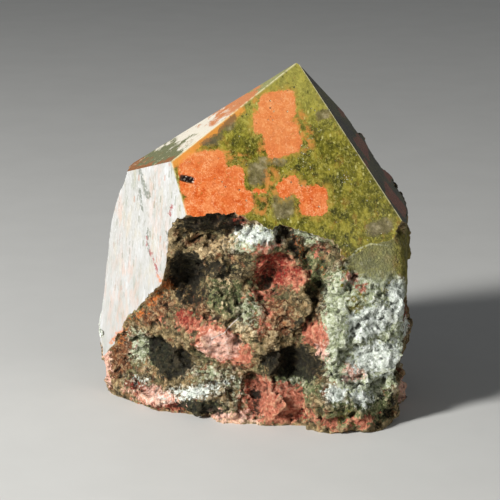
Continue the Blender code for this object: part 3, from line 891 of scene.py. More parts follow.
def blended_most(heights, rounding):
    """The largest of several heights, with a soft changeover between them."""
    top = np.max(heights, axis=0)
    total = sum(np.exp((height - top) / rounding) for height in heights)
    return top + rounding * np.log(total)


def ellipsoid_height(points, centre, half_sizes):
    """Rough distance from each point to an ellipsoid, negative inside."""
    scaled = (points - np.array(centre)) / np.array(half_sizes)
    return (np.linalg.norm(scaled, axis=1) - 1.0) * min(half_sizes)


def ridge_height(points, start, end, radius):
    """Distance from each point to a round-ended ridge, negative inside."""
    start, end = np.array(start), np.array(end)
    along = end - start
    share = np.clip((points - start) @ along / (along @ along), 0.0, 1.0)
    nearest = start + share[:, None] * along
    return np.linalg.norm(points - nearest, axis=1) - radius


def lump_height(points):
    """Rough distance from each point to the broken lump, negative inside the rock."""
    faces = [above_plane(points, face) for face in BROKEN_FACES.values()]
    height = blended_most(faces, EDGE_ROUNDING)
    for wedge in BROKEN_WEDGES.values():
        sides = [-above_plane(points, face) for face in wedge]
        removed = -blended_most(sides, HOLLOW_ROUNDING)
        height = blended_most([height, removed], HOLLOW_ROUNDING)
    raised = [ellipsoid_height(points, *knob) for knob in KNOBS.values()]
    raised += [ridge_height(points, *ridge) for ridge in RIDGES.values()]
    for knob in raised:
        height = -blended_most([-height, -knob], HOLLOW_ROUNDING)
    for hollow in HOLLOWS.values():
        inside = -ellipsoid_height(points, *hollow)
        height = blended_most([height, inside], HOLLOW_ROUNDING)
    return height


def surface_points(directions):
    """Where each direction from the core leaves the rock, searching inwards."""
    core = np.array(CORE)
    outer = np.full(len(directions), SURFACE_REACH)
    inner = np.zeros(len(directions))
    searching = np.ones(len(directions), bool)
    step = SURFACE_REACH / SURFACE_STEPS
    for count in range(1, SURFACE_STEPS):
        reach = SURFACE_REACH - count * step
        rows = np.nonzero(searching)[0]
        inside = lump_height(core + directions[rows] * reach) < 0
        inner[rows[inside]] = reach
        outer[rows[~inside]] = reach
        searching[rows[inside]] = False
    for _ in range(SURFACE_HALVINGS):
        middle = (inner + outer) / 2
        inside = lump_height(core + directions * middle[:, None]) < 0
        inner = np.where(inside, middle, inner)
        outer = np.where(inside, outer, middle)
    return core + directions * inner[:, None]


def relief_height(point):
    """Relief of the broken rock at one point: rounded lumps, and flat tilted grains."""
    height = 0.0
    for wavelength, amount in LUMPS:
        height += amount * noise.noise(Vector(point) / wavelength)
    for size, step, slope in GRAINS:
        _, centres = noise.voronoi(Vector(point) / size)
        centre = centres[0] * size
        tilt = noise.cell_vector(centres[0]) - MIDDLE
        height += step * (noise.cell(centres[0]) - MIDDLE.x)
        height += slope * tilt.dot(Vector(point) - centre)
    return height


def smooth_lump():
    """The lump before its relief, as a grid of quads wrapped round the core."""
    lump = bmesh.new()
    bmesh.ops.create_cube(lump, size=2.0)
    bmesh.ops.subdivide_edges(
        lump, edges=lump.edges, cuts=GRID_CELLS - 1, use_grid_fill=True
    )
    grid = np.array([vert.co for vert in lump.verts])
    directions = np.tan(grid * math.pi / 4)
    directions /= np.linalg.norm(directions, axis=1)[:, None]
    for vert, point in zip(lump.verts, surface_points(directions)):
        vert.co = Vector(point) * MM
    return lump


def mesh_from(lump, name):
    """A new mesh with the shape of a bmesh, which is then freed."""
    mesh = bpy.data.meshes.new(name)
    lump.to_mesh(mesh)
    lump.free()
    return mesh


def finished(holder):
    """The mesh that an object has with its modifiers; the object is then removed."""
    shown = holder.evaluated_get(bpy.context.evaluated_depsgraph_get())
    mesh = bpy.data.meshes.new_from_object(shown)
    spent = holder.data
    bpy.data.objects.remove(holder)
    bpy.data.meshes.remove(spent)
    return mesh


def held(mesh):
    """An object in the scene that holds a mesh while modifiers work on it."""
    holder = bpy.data.objects.new(mesh.name, mesh)
    bpy.context.scene.collection.objects.link(holder)
    return holder


def evenly_meshed(mesh, cell):
    """The same shape with an even mesh of small cells."""
    holder = held(mesh)
    remesh = holder.modifiers.new("even", "REMESH")
    remesh.mode = "VOXEL"
    remesh.voxel_size = cell
    return finished(holder)


def vectors(items, name):
    """One vector of every vertex or face, as rows."""
    flat = np.empty(len(items) * 3)
    items.foreach_get(name, flat)
    return flat.reshape(-1, 3)


def vertex_places(mesh):
    """The place of every vertex, in millimetres."""
    return vectors(mesh.vertices, "co") / MM


def ground_planes():
    """Each ground plane as a point on it and its outward normal."""
    planes = []
    for azimuth, tilt, setback in POINT_FACES.values():
        normal = outward(azimuth, tilt)
        planes.append((np.array(TIP) - normal * setback, normal))
    azimuth, tilt, on_face = SIDE_FACE
    planes.append((np.array(on_face), outward(azimuth, tilt)))
    planes.append((np.zeros(3), outward(0.0, -90.0)))
    return planes


def room_outside(places):
    """How far each place lies outside the ground faces, and 0 inside them."""
    heights = [(places - on_face) @ normal for on_face, normal in ground_planes()]
    return np.maximum(np.max(heights, axis=0), 0.0)


def relief_shares(places, smooth=tuple(WORN_PLACES.values())):
    """How much relief each place takes: all of it, but little where the rock is smooth."""
    shares = np.ones(len(places))
    for centre, half_sizes in smooth:
        radius = np.linalg.norm((places - centre) / np.array(half_sizes), axis=1)
        faded = np.maximum(1.0 - WORN_FADE * (1.0 - radius), WORN_SHARE)
        shares = np.minimum(shares, faded)
    return shares


def add_relief(mesh):
    """Moves the broken surface by its relief, but keeps what the ground faces need."""
    places = vertex_places(mesh)
    normals = vectors(mesh.vertex_normals, "vector")
    heights = np.array([relief_height(place) for place in places])
    heights *= relief_shares(places, (*WORN_PLACES.values(), *SMOOTH_PLACES))
    room = room_outside(places)
    lowest = np.where(room > 0.0, -GROUND_CLEARANCE * room, -np.inf)
    heights = np.maximum(heights, lowest)
    for start, end, radius in CRACKS:
        inside = -ridge_height(places, start, end, radius)
        cracked = (inside > 0.0) & (room <= 0.0)
        heights = np.where(cracked, heights - CRACK_DEEPENING * inside, heights)
    moved = (places + normals * heights[:, None]) * MM
    mesh.vertices.foreach_set("co", moved.ravel())
    mesh.update()


def convex_block(planes, name):
    """The space inside a set of planes, as one convex mesh."""
    block = bmesh.new()
    bmesh.ops.create_cube(block, size=BLOCK_SIZE * MM)
    for on_face, normal in planes:
        cut = bmesh.ops.bisect_plane(
            block,
            geom=block.verts[:] + block.edges[:] + block.faces[:],
            plane_co=Vector(on_face) * MM,
            plane_no=Vector(normal),
            clear_outer=True,
        )
        rim = [item for item in cut["geom_cut"] if isinstance(item, bmesh.types.BMEdge)]
        bmesh.ops.contextual_create(block, geom=rim)
    bmesh.ops.recalc_face_normals(block, faces=block.faces)
    return mesh_from(block, name)


def cut_flat(mesh, planes, operation):
    """A mesh with the space inside some planes kept or removed, and flat where it was cut."""
    cutter = held(convex_block(planes, "cutter"))
    holder = held(mesh)
    cut = holder.modifiers.new("ground", "BOOLEAN")
    cut.operation = operation
    cut.object = cutter
    made = finished(holder)
    spent = cutter.data
    bpy.data.objects.remove(cutter)
    bpy.data.meshes.remove(spent)
    return made


def ground(mesh):
    """The mesh cut by every ground face. The side is ground only above its broken border."""
    planes = ground_planes()
    on_side, side_normal = planes.pop(len(POINT_FACES))
    mesh = cut_flat(mesh, planes, "INTERSECT")
    azimuth, tilt, on_border = SIDE_BORDER
    removed = [(on_side, -side_normal), (np.array(on_border), -outward(azimuth, tilt))]
    return cut_flat(mesh, removed, "DIFFERENCE")


def keep_main_body(mesh):
    """Drops crumbs that the cut left loose, and splits the ground faces into triangles."""
    stone = bmesh.new()
    stone.from_mesh(mesh)
    unseen = set(stone.verts)
    islands = []
    while unseen:
        island = [unseen.pop()]
        for vert in island:
            for edge in vert.link_edges:
                other = edge.other_vert(vert)
                if other in unseen:
                    unseen.discard(other)
                    island.append(other)
        islands.append(island)
    islands.sort(key=len)
    crumbs = [vert for island in islands[:-1] for vert in island]
    bmesh.ops.delete(stone, geom=crumbs, context="VERTS")
    large = [face for face in stone.faces if len(face.verts) > 4]
    bmesh.ops.triangulate(stone, faces=large)
    stone.to_mesh(mesh)
    stone.free()


def face_kinds(mesh):
    """For every face, the number of the ground plane that it lies in, or -1."""
    centres = vectors(mesh.polygons, "center") / MM
    normals = vectors(mesh.polygons, "normal")
    kinds = np.full(len(mesh.polygons), -1)
    for number, (on_face, normal) in enumerate(ground_planes()):
        near = np.abs((centres - on_face) @ normal) < FLATNESS
        kinds[near & (normals @ normal > FACING)] = number
    return kinds


def neighbour_smoothed(mesh, places, rounds):
    """The places after each vertex moves towards its neighbours a number of times."""
    edges = np.empty(len(mesh.edges) * 2, dtype=np.int64)
    mesh.edges.foreach_get("vertices", edges)
    first, second = edges.reshape(-1, 2).T
    ends = np.concatenate([first, second])
    others = np.concatenate([second, first])
    count = np.bincount(ends, minlength=len(places))
    for _ in range(rounds):
        sums = [np.bincount(ends, places[others, axis], len(places)) for axis in range(3)]
        places = (places + np.stack(sums, axis=1) / count[:, None]) / 2
    return places


def sunk_depth(mesh, places, normals, rounds):
    """How far each vertex lies below the smoothed surface, in millimetres."""
    smoothed = neighbour_smoothed(mesh, places, rounds)
    return np.sum((smoothed - places) * normals, axis=1)


def block_cover(places, centre, half_sizes, turn):
    """How far inside a rounded block each place is: 1 deep inside, 0 well outside."""
    angle = math.radians(turn)
    offset = places - np.array(centre)
    across = offset[:, 0] * math.cos(angle) - offset[:, 2] * math.sin(angle)
    upward = offset[:, 0] * math.sin(angle) + offset[:, 2] * math.cos(angle)
    scaled = np.abs(np.stack([across, offset[:, 1], upward], axis=1)) / np.array(half_sizes)
    radius = np.sum(scaled ** BLOCK_POWER, axis=1) ** (1.0 / BLOCK_POWER)
    return np.clip(0.5 + (1.0 - radius) * min(half_sizes) / BLOCK_EDGE, 0.0, 1.0)


def hidden_cover(places, size, share):
    """Large soft clouds of one mineral, on the sides that face away only."""
    clouds = np.array([noise.noise(Vector(place) / size) for place in places])
    behind = np.clip((places[:, 1] - HIDDEN_START) / HIDDEN_FADE, 0.0, 1.0)
    return np.clip((clouds - share) * HIDDEN_STEEPNESS, 0.0, 1.0) * behind


def store(mesh, name, values):
    """Keeps one number for every vertex, for the materials to read."""
    layer = mesh.attributes.new(name, "FLOAT", "POINT")
    layer.data.foreach_set("value", values.astype(np.float32))


def store_minerals(mesh):
    """Marks where each mineral of the broken rock is, where its painted shade lies, and how deep its pits and
    hollows are.
    """
    places = vertex_places(mesh)
    normals = vectors(mesh.vertex_normals, "vector")
    for name, blocks in BROKEN_MINERALS.items():
        covers = [block_cover(places, *block[:3]) * block[3] for block in blocks]
        if name in HIDDEN_MINERALS:
            covers.append(hidden_cover(places, *HIDDEN_MINERALS[name]))
        store(mesh, name, np.max(covers, axis=0))
    store(mesh, "worn", 1.0 - relief_shares(places))
    store(mesh, "pit", sunk_depth(mesh, places, normals, PIT_ROUNDS))
    store(mesh, "hollow", sunk_depth(mesh, places, normals, HOLLOW_ROUNDS))


def relief_tree(material):
    """Geometry Nodes that step, tilt and crumble a surface grain by grain."""
    tree = bpy.data.node_groups.new("grain_relief", "GeometryNodeTree")
    recipe = Recipe(tree)
    recipe.input("Geometry", "NodeSocketGeometry")
    for name in ("Grain Size", "Grain Step", "Crumb Size", "Crumb Height"):
        recipe.input(name, NUMBER, MM)
    recipe.input("Grain Slope", NUMBER, 0.3)
    recipe.input("Seed", NUMBER, 1.0)
    recipe.output("Geometry", "NodeSocketGeometry")
    given = recipe.inputs()
    place = recipe.node("GeometryNodeInputPosition").outputs["Position"]
    normal = recipe.node("GeometryNodeInputNormal").outputs["Normal"]
    room, share = (
        recipe.node("GeometryNodeInputNamedAttribute", {"Name": name}).outputs["Attribute"]
        for name in ("room", "share")
    )
    centre = recipe.cells(place, given["Grain Size"])["Position"]
    chance = recipe.node(
        "ShaderNodeTexWhiteNoise",
        {"Vector": recipe.vector("SCALE", centre, scale=1.0 / MM), "W": given["Seed"]},
        noise_dimensions="4D",
    )
    lean = recipe.vector("SUBTRACT", chance.outputs["Color"], HALF_WAY)
    from_centre = recipe.vector("SUBTRACT", place, centre)
    tilt = recipe.vector("DOT_PRODUCT", lean, from_centre)
    tilt = recipe.times(tilt, given["Grain Slope"])
    step = recipe.maths("SUBTRACT", chance.outputs["Value"], 0.5)
    step = recipe.times(step, given["Grain Step"])
    crumb = recipe.noise(place, given["Crumb Size"], 2.0, 0.5)
    crumb = recipe.maths("SUBTRACT", crumb, 0.5)
    crumb = recipe.times(crumb, given["Crumb Height"])
    height = recipe.maths("ADD", recipe.maths("ADD", tilt, step), crumb)
    height = recipe.times(height, share)
    inside = recipe.maths("LESS_THAN", room, ON_GROUND)
    lowest = recipe.times(room, -GROUND_CLEARANCE)
    lowest = recipe.maths("SUBTRACT", lowest, inside)
    height = recipe.maths("MAXIMUM", height, lowest)
    moved = recipe.node(
        "GeometryNodeSetPosition",
        {"Geometry": given["Geometry"], "Offset": recipe.vector("SCALE", normal, scale=height)},
    )
    real = recipe.node("GeometryNodeRealizeInstances", {"Geometry": moved.outputs["Geometry"]})
    painted = recipe.node(
        "GeometryNodeSetMaterial",
        {"Geometry": real.outputs["Geometry"], "Material": material},
    )
    recipe.result(Geometry=painted.outputs["Geometry"])
    return tree


def grained(mesh, shape, material):
    """A mesh whose broken surface is stepped and tilted grain by grain."""
    places = vertex_places(mesh)
    store(mesh, "room", room_outside(places) * MM)
    store(mesh, "share", relief_shares(places, (*WORN_PLACES.values(), *SMOOTH_PLACES)))
    holder = held(mesh)
    relief = holder.modifiers.new("grain", "NODES")
    relief.node_group = relief_tree(material)
    values = {
        "Grain Size": shape.grain_size,
        "Grain Step": shape.grain_step,
        "Grain Slope": shape.grain_slope,
        "Crumb Size": shape.crumb_size,
        "Crumb Height": shape.crumb_height,
        "Seed": float(shape.seed),
    }
    for item in relief.node_group.interface.items_tree:
        if item.in_out == "INPUT" and item.name in values:
            relief[item.identifier] = values[item.name]
    made = finished(holder)
    for name in ("room", "share"):
        made.attributes.remove(made.attributes[name])
    return made


def ground_stone(lump, shape, material):
    """The grained and ground stone, made again with other cells where the cut falls apart."""
    for stretch in CELL_STRETCHES:
        mesh = evenly_meshed(lump.copy(), shape.grain_cell * stretch)
        mesh = grained(mesh, shape, material)
        faces = len(mesh.polygons)
        mesh = ground(mesh)
        keep_main_body(mesh)
        if len(mesh.polygons) > faces / 2:
            return mesh
    raise RuntimeError("The ground faces could not be cut into the stone")


def stone_mesh(shape, materials):
    """The whole stone: lump, relief, grain, ground faces, and what its materials read."""
    lump = evenly_meshed(mesh_from(smooth_lump(), "lump"), shape.lump_cell)
    add_relief(lump)
    mesh = ground_stone(lump, shape, materials["broken"])
    kinds = face_kinds(mesh)
    mesh.materials.clear()
    for name in ("polished", "side", "broken"):
        mesh.materials.append(materials[name])
    side = len(POINT_FACES)
    slots = np.where((kinds >= 0) & (kinds < side), 0, np.where(kinds == side, 1, 2))
    mesh.polygons.foreach_set("material_index", slots.astype(np.int32))
    mesh.set_sharp_from_angle(angle=shape.sharp_angle)
    mesh.polygons.foreach_set("use_smooth", kinds < 0)
    store_minerals(mesh)
    return mesh


def shader_groups():
    """Builds every shader node group once."""
    return {
        "patch": mineral_patch_group(),
        "ragged": ragged_position_group(),
        "edge": edge_closeness_group(),
        "specks": mineral_specks_group(),
        "mottle": mottle_group(),
        "streak": streak_mark_group(),
        "dissolve": dissolve_group(),
    }


def new_material(name, groups=None, **settings):
    """A material with only its Principled shader, and the recipe that fills it."""
    material = bpy.data.materials.new(name)
    material.use_nodes = True
    shader = material.node_tree.nodes["Principled BSDF"]
    for socket, value in settings.items():
        shader.inputs[socket.replace("_", " ")].default_value = value
    return material, Recipe(material.node_tree, groups), shader


def stone_position(recipe):
    """The place on the stone in millimetres, from its own object coordinates."""
    place = recipe.node("ShaderNodeTexCoord").outputs["Object"]
    return recipe.vector("SCALE", place, scale=1.0 / MM)


def bumped(recipe, shader, height, distance):
    """Feeds a height to the shader's normal through a Bump node."""
    bump = recipe.node("ShaderNodeBump", {"Height": height, "Distance": distance})
    recipe.feed(shader.inputs["Normal"], bump.outputs["Normal"])


def patches(recipe, place, blocks, growth, softness):
    """Where any of a table's blocks is, with every half-size grown by the same amount."""
    masks = []
    for centre, half_sizes, turn in blocks:
        values = {
            "Position": place,
            "Centre": centre,
            "Half Size": tuple(half + growth for half in half_sizes),
            "Turn": math.radians(turn),
            "Softness": softness,
        }
        masks.append(recipe.group("patch", values)["Mask"])
    return recipe.most(masks)


def streaks(recipe, place, lines):
    """Where any of a table's thin lines is."""
    masks = []
    for start, end, width in lines:
        values = {"Position": place, "Start": start, "End": end, "Width": width}
        masks.append(recipe.group("streak", values)["Mask"])
    return recipe.most(masks)


def specks(recipe, place, size, share, fill=0.5):
    """Scattered small crystals: their mask and their random shade."""
    values = {"Position": place, "Size": size, "Share": share, "Fill": fill}
    made = recipe.group("specks", values)
    return made["Mask"], made["Shade"]


def mottled(recipe, place, size, shades, contrast=0.16):
    """Three shades run together."""
    dark, middle, light = shades
    values = {
        "Position": place,
        "Size": size,
        "Dark": dark,
        "Middle": middle,
        "Light": light,
        "Contrast": contrast,
    }
    return recipe.group("mottle", values)["Colour"]


def closeness(recipe, place, plane, width):
    """How close a place is to a ground plane."""
    on_face, normal = plane
    values = {
        "Position": place,
        "Face Point": tuple(on_face),
        "Face Normal": tuple(normal),
        "Width": width,
    }
    return recipe.group("edge", values)["Mask"]


def weighted(recipe, mask, weight):
    """A mask made weaker or stronger."""
    return recipe.maths("MULTIPLY", mask, weight, clamp=True)


def laid(recipe, colour, mask, weight, tint):
    """A colour with a tint laid over it where a mask is, by a weight."""
    return recipe.mix(weighted(recipe, mask, weight), colour, paint(*tint))


def ragged_place(recipe, place, borders):
    """A place shifted for ragged borders, by the sizes of their waves and crystals."""
    names = ("Wave Size", "Wave Height", "Crystal Size", "Crystal Pull")
    return recipe.group("ragged", {"Position": place, **dict(zip(names, borders))})["Position"]


def worn_edge_highlight_laid(recipe, place, colour, in_front):
    """A colour with the pale, broken line of the worn edge over it, at the front only: wear, and a painted
    highlight.
    """
    edge = recipe.times(streaks(recipe, place, WORN_EDGE_HIGHLIGHT), in_front)
    edge = recipe.times(edge, recipe.spread(recipe.noise(place, 0.8), 0.35, 0.6))
    return laid(recipe, colour, edge, 0.6, (184, 184, 150))


def clouded(recipe, place, size, low, high):
    """Ragged clouds: 1 where the noise is above the high mark, 0 below the low one."""
    return recipe.spread(recipe.noise(place, size, 4.0, 0.65), low, high)


def laid_clouds(recipe, place, colour, clouds):
    """A colour with a table's clouds of other colours laid over it."""
    for shift, size, weight, tint in clouds:
        mask = clouded(recipe, recipe.vector("ADD", place, shift), size, 0.55, 0.65)
        colour = laid(recipe, colour, mask, weight, tint)
    return colour


def veins(recipe, place, size, width):
    """Thin wandering lines where a large noise crosses its middle value."""
    middle = recipe.maths("SUBTRACT", recipe.noise(place, size, 4.0, 0.6), 0.5)
    return recipe.spread(recipe.maths("ABSOLUTE", middle), 0.0, width, 1.0, 0.0)


def grainy(recipe, colour, fine, bright, dim, weight):
    """A colour with fine bright and dim grains, chosen by one fine noise."""
    light = recipe.spread(fine, 0.56, 0.72)
    colour = recipe.mix(weighted(recipe, light, weight), colour, bright)
    shade = recipe.spread(fine, 0.28, 0.44, 1.0, 0.0)
    return recipe.mix(weighted(recipe, shade, weight), colour, dim)


def epidote_colour(recipe, place, colours):
    """Green stone: streaky olive clouds with dark, ochre and yellow-green crystals."""
    streaky = recipe.vector("MULTIPLY", place, (1.0, 1.0, 0.6))
    shades = (paint(58, 58, 14), tuple(colours.epidote), tuple(colours.epidote_light))
    colour = mottled(recipe, streaky, 2.2, shades, 0.13)
    colour = laid_clouds(recipe, streaky, colour, EPIDOTE_CLOUDS)
    height = recipe.part(place, "Z")
    lift = recipe.spread(height, 58.0, 72.0, 0.0, 0.45)
    colour = recipe.mix(lift, colour, paint(178, 170, 86))
    fine = recipe.noise(streaky, 0.4, 2.0)
    colour = grainy(recipe, colour, fine, paint(170, 164, 78), paint(38, 40, 12), 0.5)
    thin = veins(recipe, recipe.vector("ADD", place, (15.0, 5.0, 0.0)), 5.0, 0.012)
    colour = laid(recipe, colour, thin, 0.4, (186, 178, 98))
    flecks, shade = specks(recipe, streaky, 0.8, 0.22, 0.16)
    tint = recipe.mix(recipe.maths("GREATER_THAN", shade, 0.5), paint(34, 34, 12), paint(198, 190, 116))
    return recipe.mix(weighted(recipe, flecks, 0.6), colour, tint)


def feldspar_colour(recipe, place, colours):
    """Orange feldspar: blocky crystals of slightly different shades, with green flecks."""
    shades = (paint(188, 78, 26), tuple(colours.feldspar), tuple(colours.feldspar_light))
    colour = mottled(recipe, place, 1.4, shades, 0.16)
    crystal, shade = specks(recipe, place, 2.2, 0.6, 0.9)
    tint = recipe.mix(shade, paint(196, 84, 30), paint(226, 150, 96))
    colour = recipe.mix(weighted(recipe, crystal, 0.35), colour, tint)
    fine = recipe.noise(place, 0.35, 2.0)
    colour = grainy(recipe, colour, fine, paint(236, 174, 124), paint(160, 62, 20), 0.5)
    thin = veins(recipe, recipe.vector("ADD", place, (0.0, 35.0, 0.0)), 4.0, 0.014)
    colour = laid(recipe, colour, thin, 0.45, (238, 186, 140))
    shifted = recipe.vector("ADD", place, (20.0, 30.0, 0.0))
    green = clouded(recipe, shifted, 1.0, 0.62, 0.70)
    return laid(recipe, colour, green, 0.6, (150, 108, 36))


def left_face_colour(recipe, ragged, colour, planes):
    """The left face of the point: ragged zones of other minerals, one below the other, one of them a painted
    highlight.
    """
    front_normal, left_normal = planes[0][1], planes[1][1]
    along = np.cross(left_normal, front_normal)
    along *= -np.sign(along[2]) / np.linalg.norm(along)
    offset = recipe.vector("SUBTRACT", ragged, TIP)
    run = recipe.vector("DOT_PRODUCT", offset, tuple(along))
    shift = recipe.maths("SUBTRACT", recipe.noise(ragged, 5.0, 4.0, 0.65), 0.5)
    shifted = recipe.maths("ADD", run, recipe.times(shift, 26.0))
    # One zone, near-white, is a painted highlight.
    for begins, tint, strength in LEFT_FACE_ZONES:
        mask = recipe.spread(shifted, begins - ZONE_SOFTNESS, begins + ZONE_SOFTNESS)
        colour = laid(recipe, colour, mask, strength, tint)
    pulled = recipe.vector("SCALE", tuple(along), scale=recipe.times(run, -0.75))
    streaky = recipe.noise(recipe.vector("ADD", ragged, pulled), 1.1, 4.0, 0.7)
    return grainy(recipe, colour, streaky, paint(236, 222, 182), paint(164, 108, 62), 0.5)


def polished_material(groups, colours):
    """Ground and polished stone: green epidote with orange feldspar and grey quartz."""
    material, recipe, shader = new_material("polished_unakite", groups, Coat_Weight=0.25, Coat_Roughness=0.06)
    place = stone_position(recipe)
    planes = ground_planes()
    front = closeness(recipe, place, planes[0], 0.3)
    left = closeness(recipe, place, planes[1], 0.25)
    elsewhere = recipe.maths("SUBTRACT", 1.0, recipe.maths("MAXIMUM", front, left))
    ragged = ragged_place(recipe, place, POLISHED_BORDERS)
    colour = epidote_colour(recipe, place, colours)

    quartz = patches(recipe, ragged, QUARTZ_BLOCKS, 0.0, 0.25)
    hidden, _ = specks(recipe, ragged, 6.0, 0.10, 0.45)
    quartz = recipe.maths("MAXIMUM", weighted(recipe, quartz, front), weighted(recipe, hidden, elsewhere))
    shades = (paint(60, 52, 32), tuple(colours.quartz), paint(150, 138, 106))
    grey = mottled(recipe, place, 1.8, shades)
    colour = recipe.mix(weighted(recipe, quartz, 0.85), colour, grey)

    halo = patches(recipe, ragged, FELDSPAR_BLOCKS, 0.9, 0.2)
    halo = weighted(recipe, halo, front)
    blotches = recipe.spread(recipe.noise(place, 1.3), 0.4, 0.62)
    halo = recipe.times(halo, blotches)
    colour = laid(recipe, colour, halo, 0.6, (172, 138, 56))
    ochre = patches(recipe, ragged, OCHRE_BLOCKS, 0.0, 0.4)
    ochre = recipe.times(weighted(recipe, ochre, front), blotches)
    colour = laid(recipe, colour, ochre, 0.85, (196, 128, 62))

    feldspar = patches(recipe, ragged, FELDSPAR_BLOCKS, 0.0, 0.05)
    feldspar = weighted(recipe, feldspar, front)
    hidden, _ = specks(recipe, ragged, 10.0, 0.6, 0.28)
    hidden = recipe.spread(hidden, 0.45, 0.55)
    feldspar = recipe.maths("MAXIMUM", feldspar, weighted(recipe, hidden, elsewhere))
    orange = feldspar_colour(recipe, place, colours)
    height = recipe.part(place, "Z")
    pale = recipe.spread(height, 52.0, 62.0, 0.0, 0.4)
    orange = recipe.mix(pale, orange, paint(214, 150, 92))
    colour = recipe.mix(feldspar, colour, orange)

    for lines, tint, weight in EDGE_BANDS:
        band = streaks(recipe, ragged, lines)
        colour = laid(recipe, colour, band, recipe.times(front, weight), tint)

    colour = recipe.mix(left, colour, left_face_colour(recipe, ragged, colour, planes))
    # Painted shade: the right face of the point is darkened, as it lies in shadow.
    right = closeness(recipe, place, planes[2], 0.25)
    colour = laid(recipe, colour, right, 0.55, (56, 48, 22))

    # The pale edge below the front face: wear, and a painted highlight.
    colour = worn_edge_highlight_laid(recipe, place, colour, front)
    # Pale rims: wear, and painted highlights along the edges of the front face.
    rims = [closeness(recipe, place, planes[number], width) for number, width in FRONT_RIMS]
    rim = recipe.times(recipe.most(rims), front)
    rim = recipe.times(rim, recipe.spread(recipe.noise(place, 1.2), 0.3, 0.55))
    colour = laid(recipe, colour, rim, 0.75, (222, 214, 168))

    pits, _ = specks(recipe, place, 0.75, 0.035, 0.1)
    cluster = patches(recipe, place, PIT_CLUSTERS, 0.0, 0.5)
    many, _ = specks(recipe, place, 0.5, 0.4, 0.16)
    pits = recipe.maths("MAXIMUM", pits, recipe.times(many, cluster))
    # Painted shade and glints in the pits: a fine noise makes some pits dark and others pale.
    tone = recipe.noise(place, 0.3, 1.0)
    pit_shade_and_glint = recipe.mix(recipe.spread(tone, 0.42, 0.58), paint(34, 30, 16), paint(218, 212, 168))
    colour = recipe.mix(weighted(recipe, pits, 0.8), colour, pit_shade_and_glint)
    # Painted shade in the chip, broken by pale flecks.
    chip = patches(recipe, place, CHIPS, 0.0, 0.25)
    chip = weighted(recipe, chip, front)
    painted_chip_shade = recipe.spread(recipe.noise(place, 0.5, 2.0), 0.56, 0.64)
    painted_chip_shade = recipe.mix(painted_chip_shade, paint(24, 14, 8), paint(190, 176, 160))
    colour = recipe.mix(chip, colour, painted_chip_shade)
    recipe.feed(shader.inputs["Base Color"], colour)

    rough = recipe.spread(recipe.noise(place, 5.0), 0.3, 0.7, 0.14, 0.26)
    rough = recipe.maths("ADD", rough, recipe.times(pits, 0.4))
    recipe.feed(shader.inputs["Roughness"], rough)
    height = recipe.times(recipe.noise(place, 1.0), 0.1)
    height = recipe.maths("SUBTRACT", height, pits)
    height = recipe.maths("SUBTRACT", height, recipe.times(chip, 2.0))
    bumped(recipe, shader, height, POLISH_BUMP)
    return material


def side_material(groups, colours):
    """The honed side: almost white, with faint upright streaks and a few dark and red marks."""
    material, recipe, shader = new_material("honed_side", groups, Roughness=0.42)
    place = stone_position(recipe)
    upright = recipe.vector("MULTIPLY", place, (1.0, 1.0, 0.3))
    shades = (paint(140, 143, 132), tuple(colours.side), paint(184, 185, 184))
    colour = mottled(recipe, upright, 2.6, shades, 0.24)
    cream = clouded(recipe, recipe.vector("ADD", upright, (50.0, 0.0, 0.0)), 2.2, 0.52, 0.68)
    colour = laid(recipe, colour, cream, 0.4, (172, 162, 138))
    wash = patches(recipe, place, PINK_WASHES, 0.0, 0.8)
    wash = recipe.times(wash, recipe.spread(recipe.noise(upright, 1.2), 0.45, 0.65))
    colour = laid(recipe, colour, wash, 0.4, (188, 150, 130))
    height = recipe.part(place, "Z")
    busy = recipe.spread(height, 16.0, 42.0, 0.12, 0.5)
    fine = recipe.noise(upright, 0.32, 2.0)
    colour = grainy(recipe, colour, fine, paint(196, 196, 194), paint(120, 116, 98), busy)
    ragged = ragged_place(recipe, place, SIDE_MARK_BORDERS)
    for lines, tint, weight in SIDE_STREAKS:
        mask = streaks(recipe, ragged, lines)
        broken = recipe.spread(recipe.noise(place, 0.8), 0.36, 0.56)
        colour = laid(recipe, colour, recipe.times(mask, broken), weight, tint)
    flecks, shade = specks(recipe, upright, 0.5, 0.07, 0.36)
    tint = recipe.mix(recipe.maths("GREATER_THAN", shade, 0.75), paint(112, 116, 92), paint(172, 116, 88))
    colour = recipe.mix(weighted(recipe, flecks, busy), colour, tint)
    recipe.feed(shader.inputs["Base Color"], colour)
    recipe.feed(shader.inputs["Roughness"], recipe.spread(recipe.noise(upright, 1.0), 0.3, 0.7, 0.34, 0.55))
    height = recipe.maths("ADD", recipe.noise(upright, 0.7), recipe.times(flecks, -0.5))
    bumped(recipe, shader, height, SIDE_BUMP)
    return material


def kept(recipe, name):
    """A number that the mesh keeps at every vertex."""
    made = recipe.node("ShaderNodeAttribute", attribute_type="GEOMETRY", attribute_name=name)
    return made.outputs["Fac"]


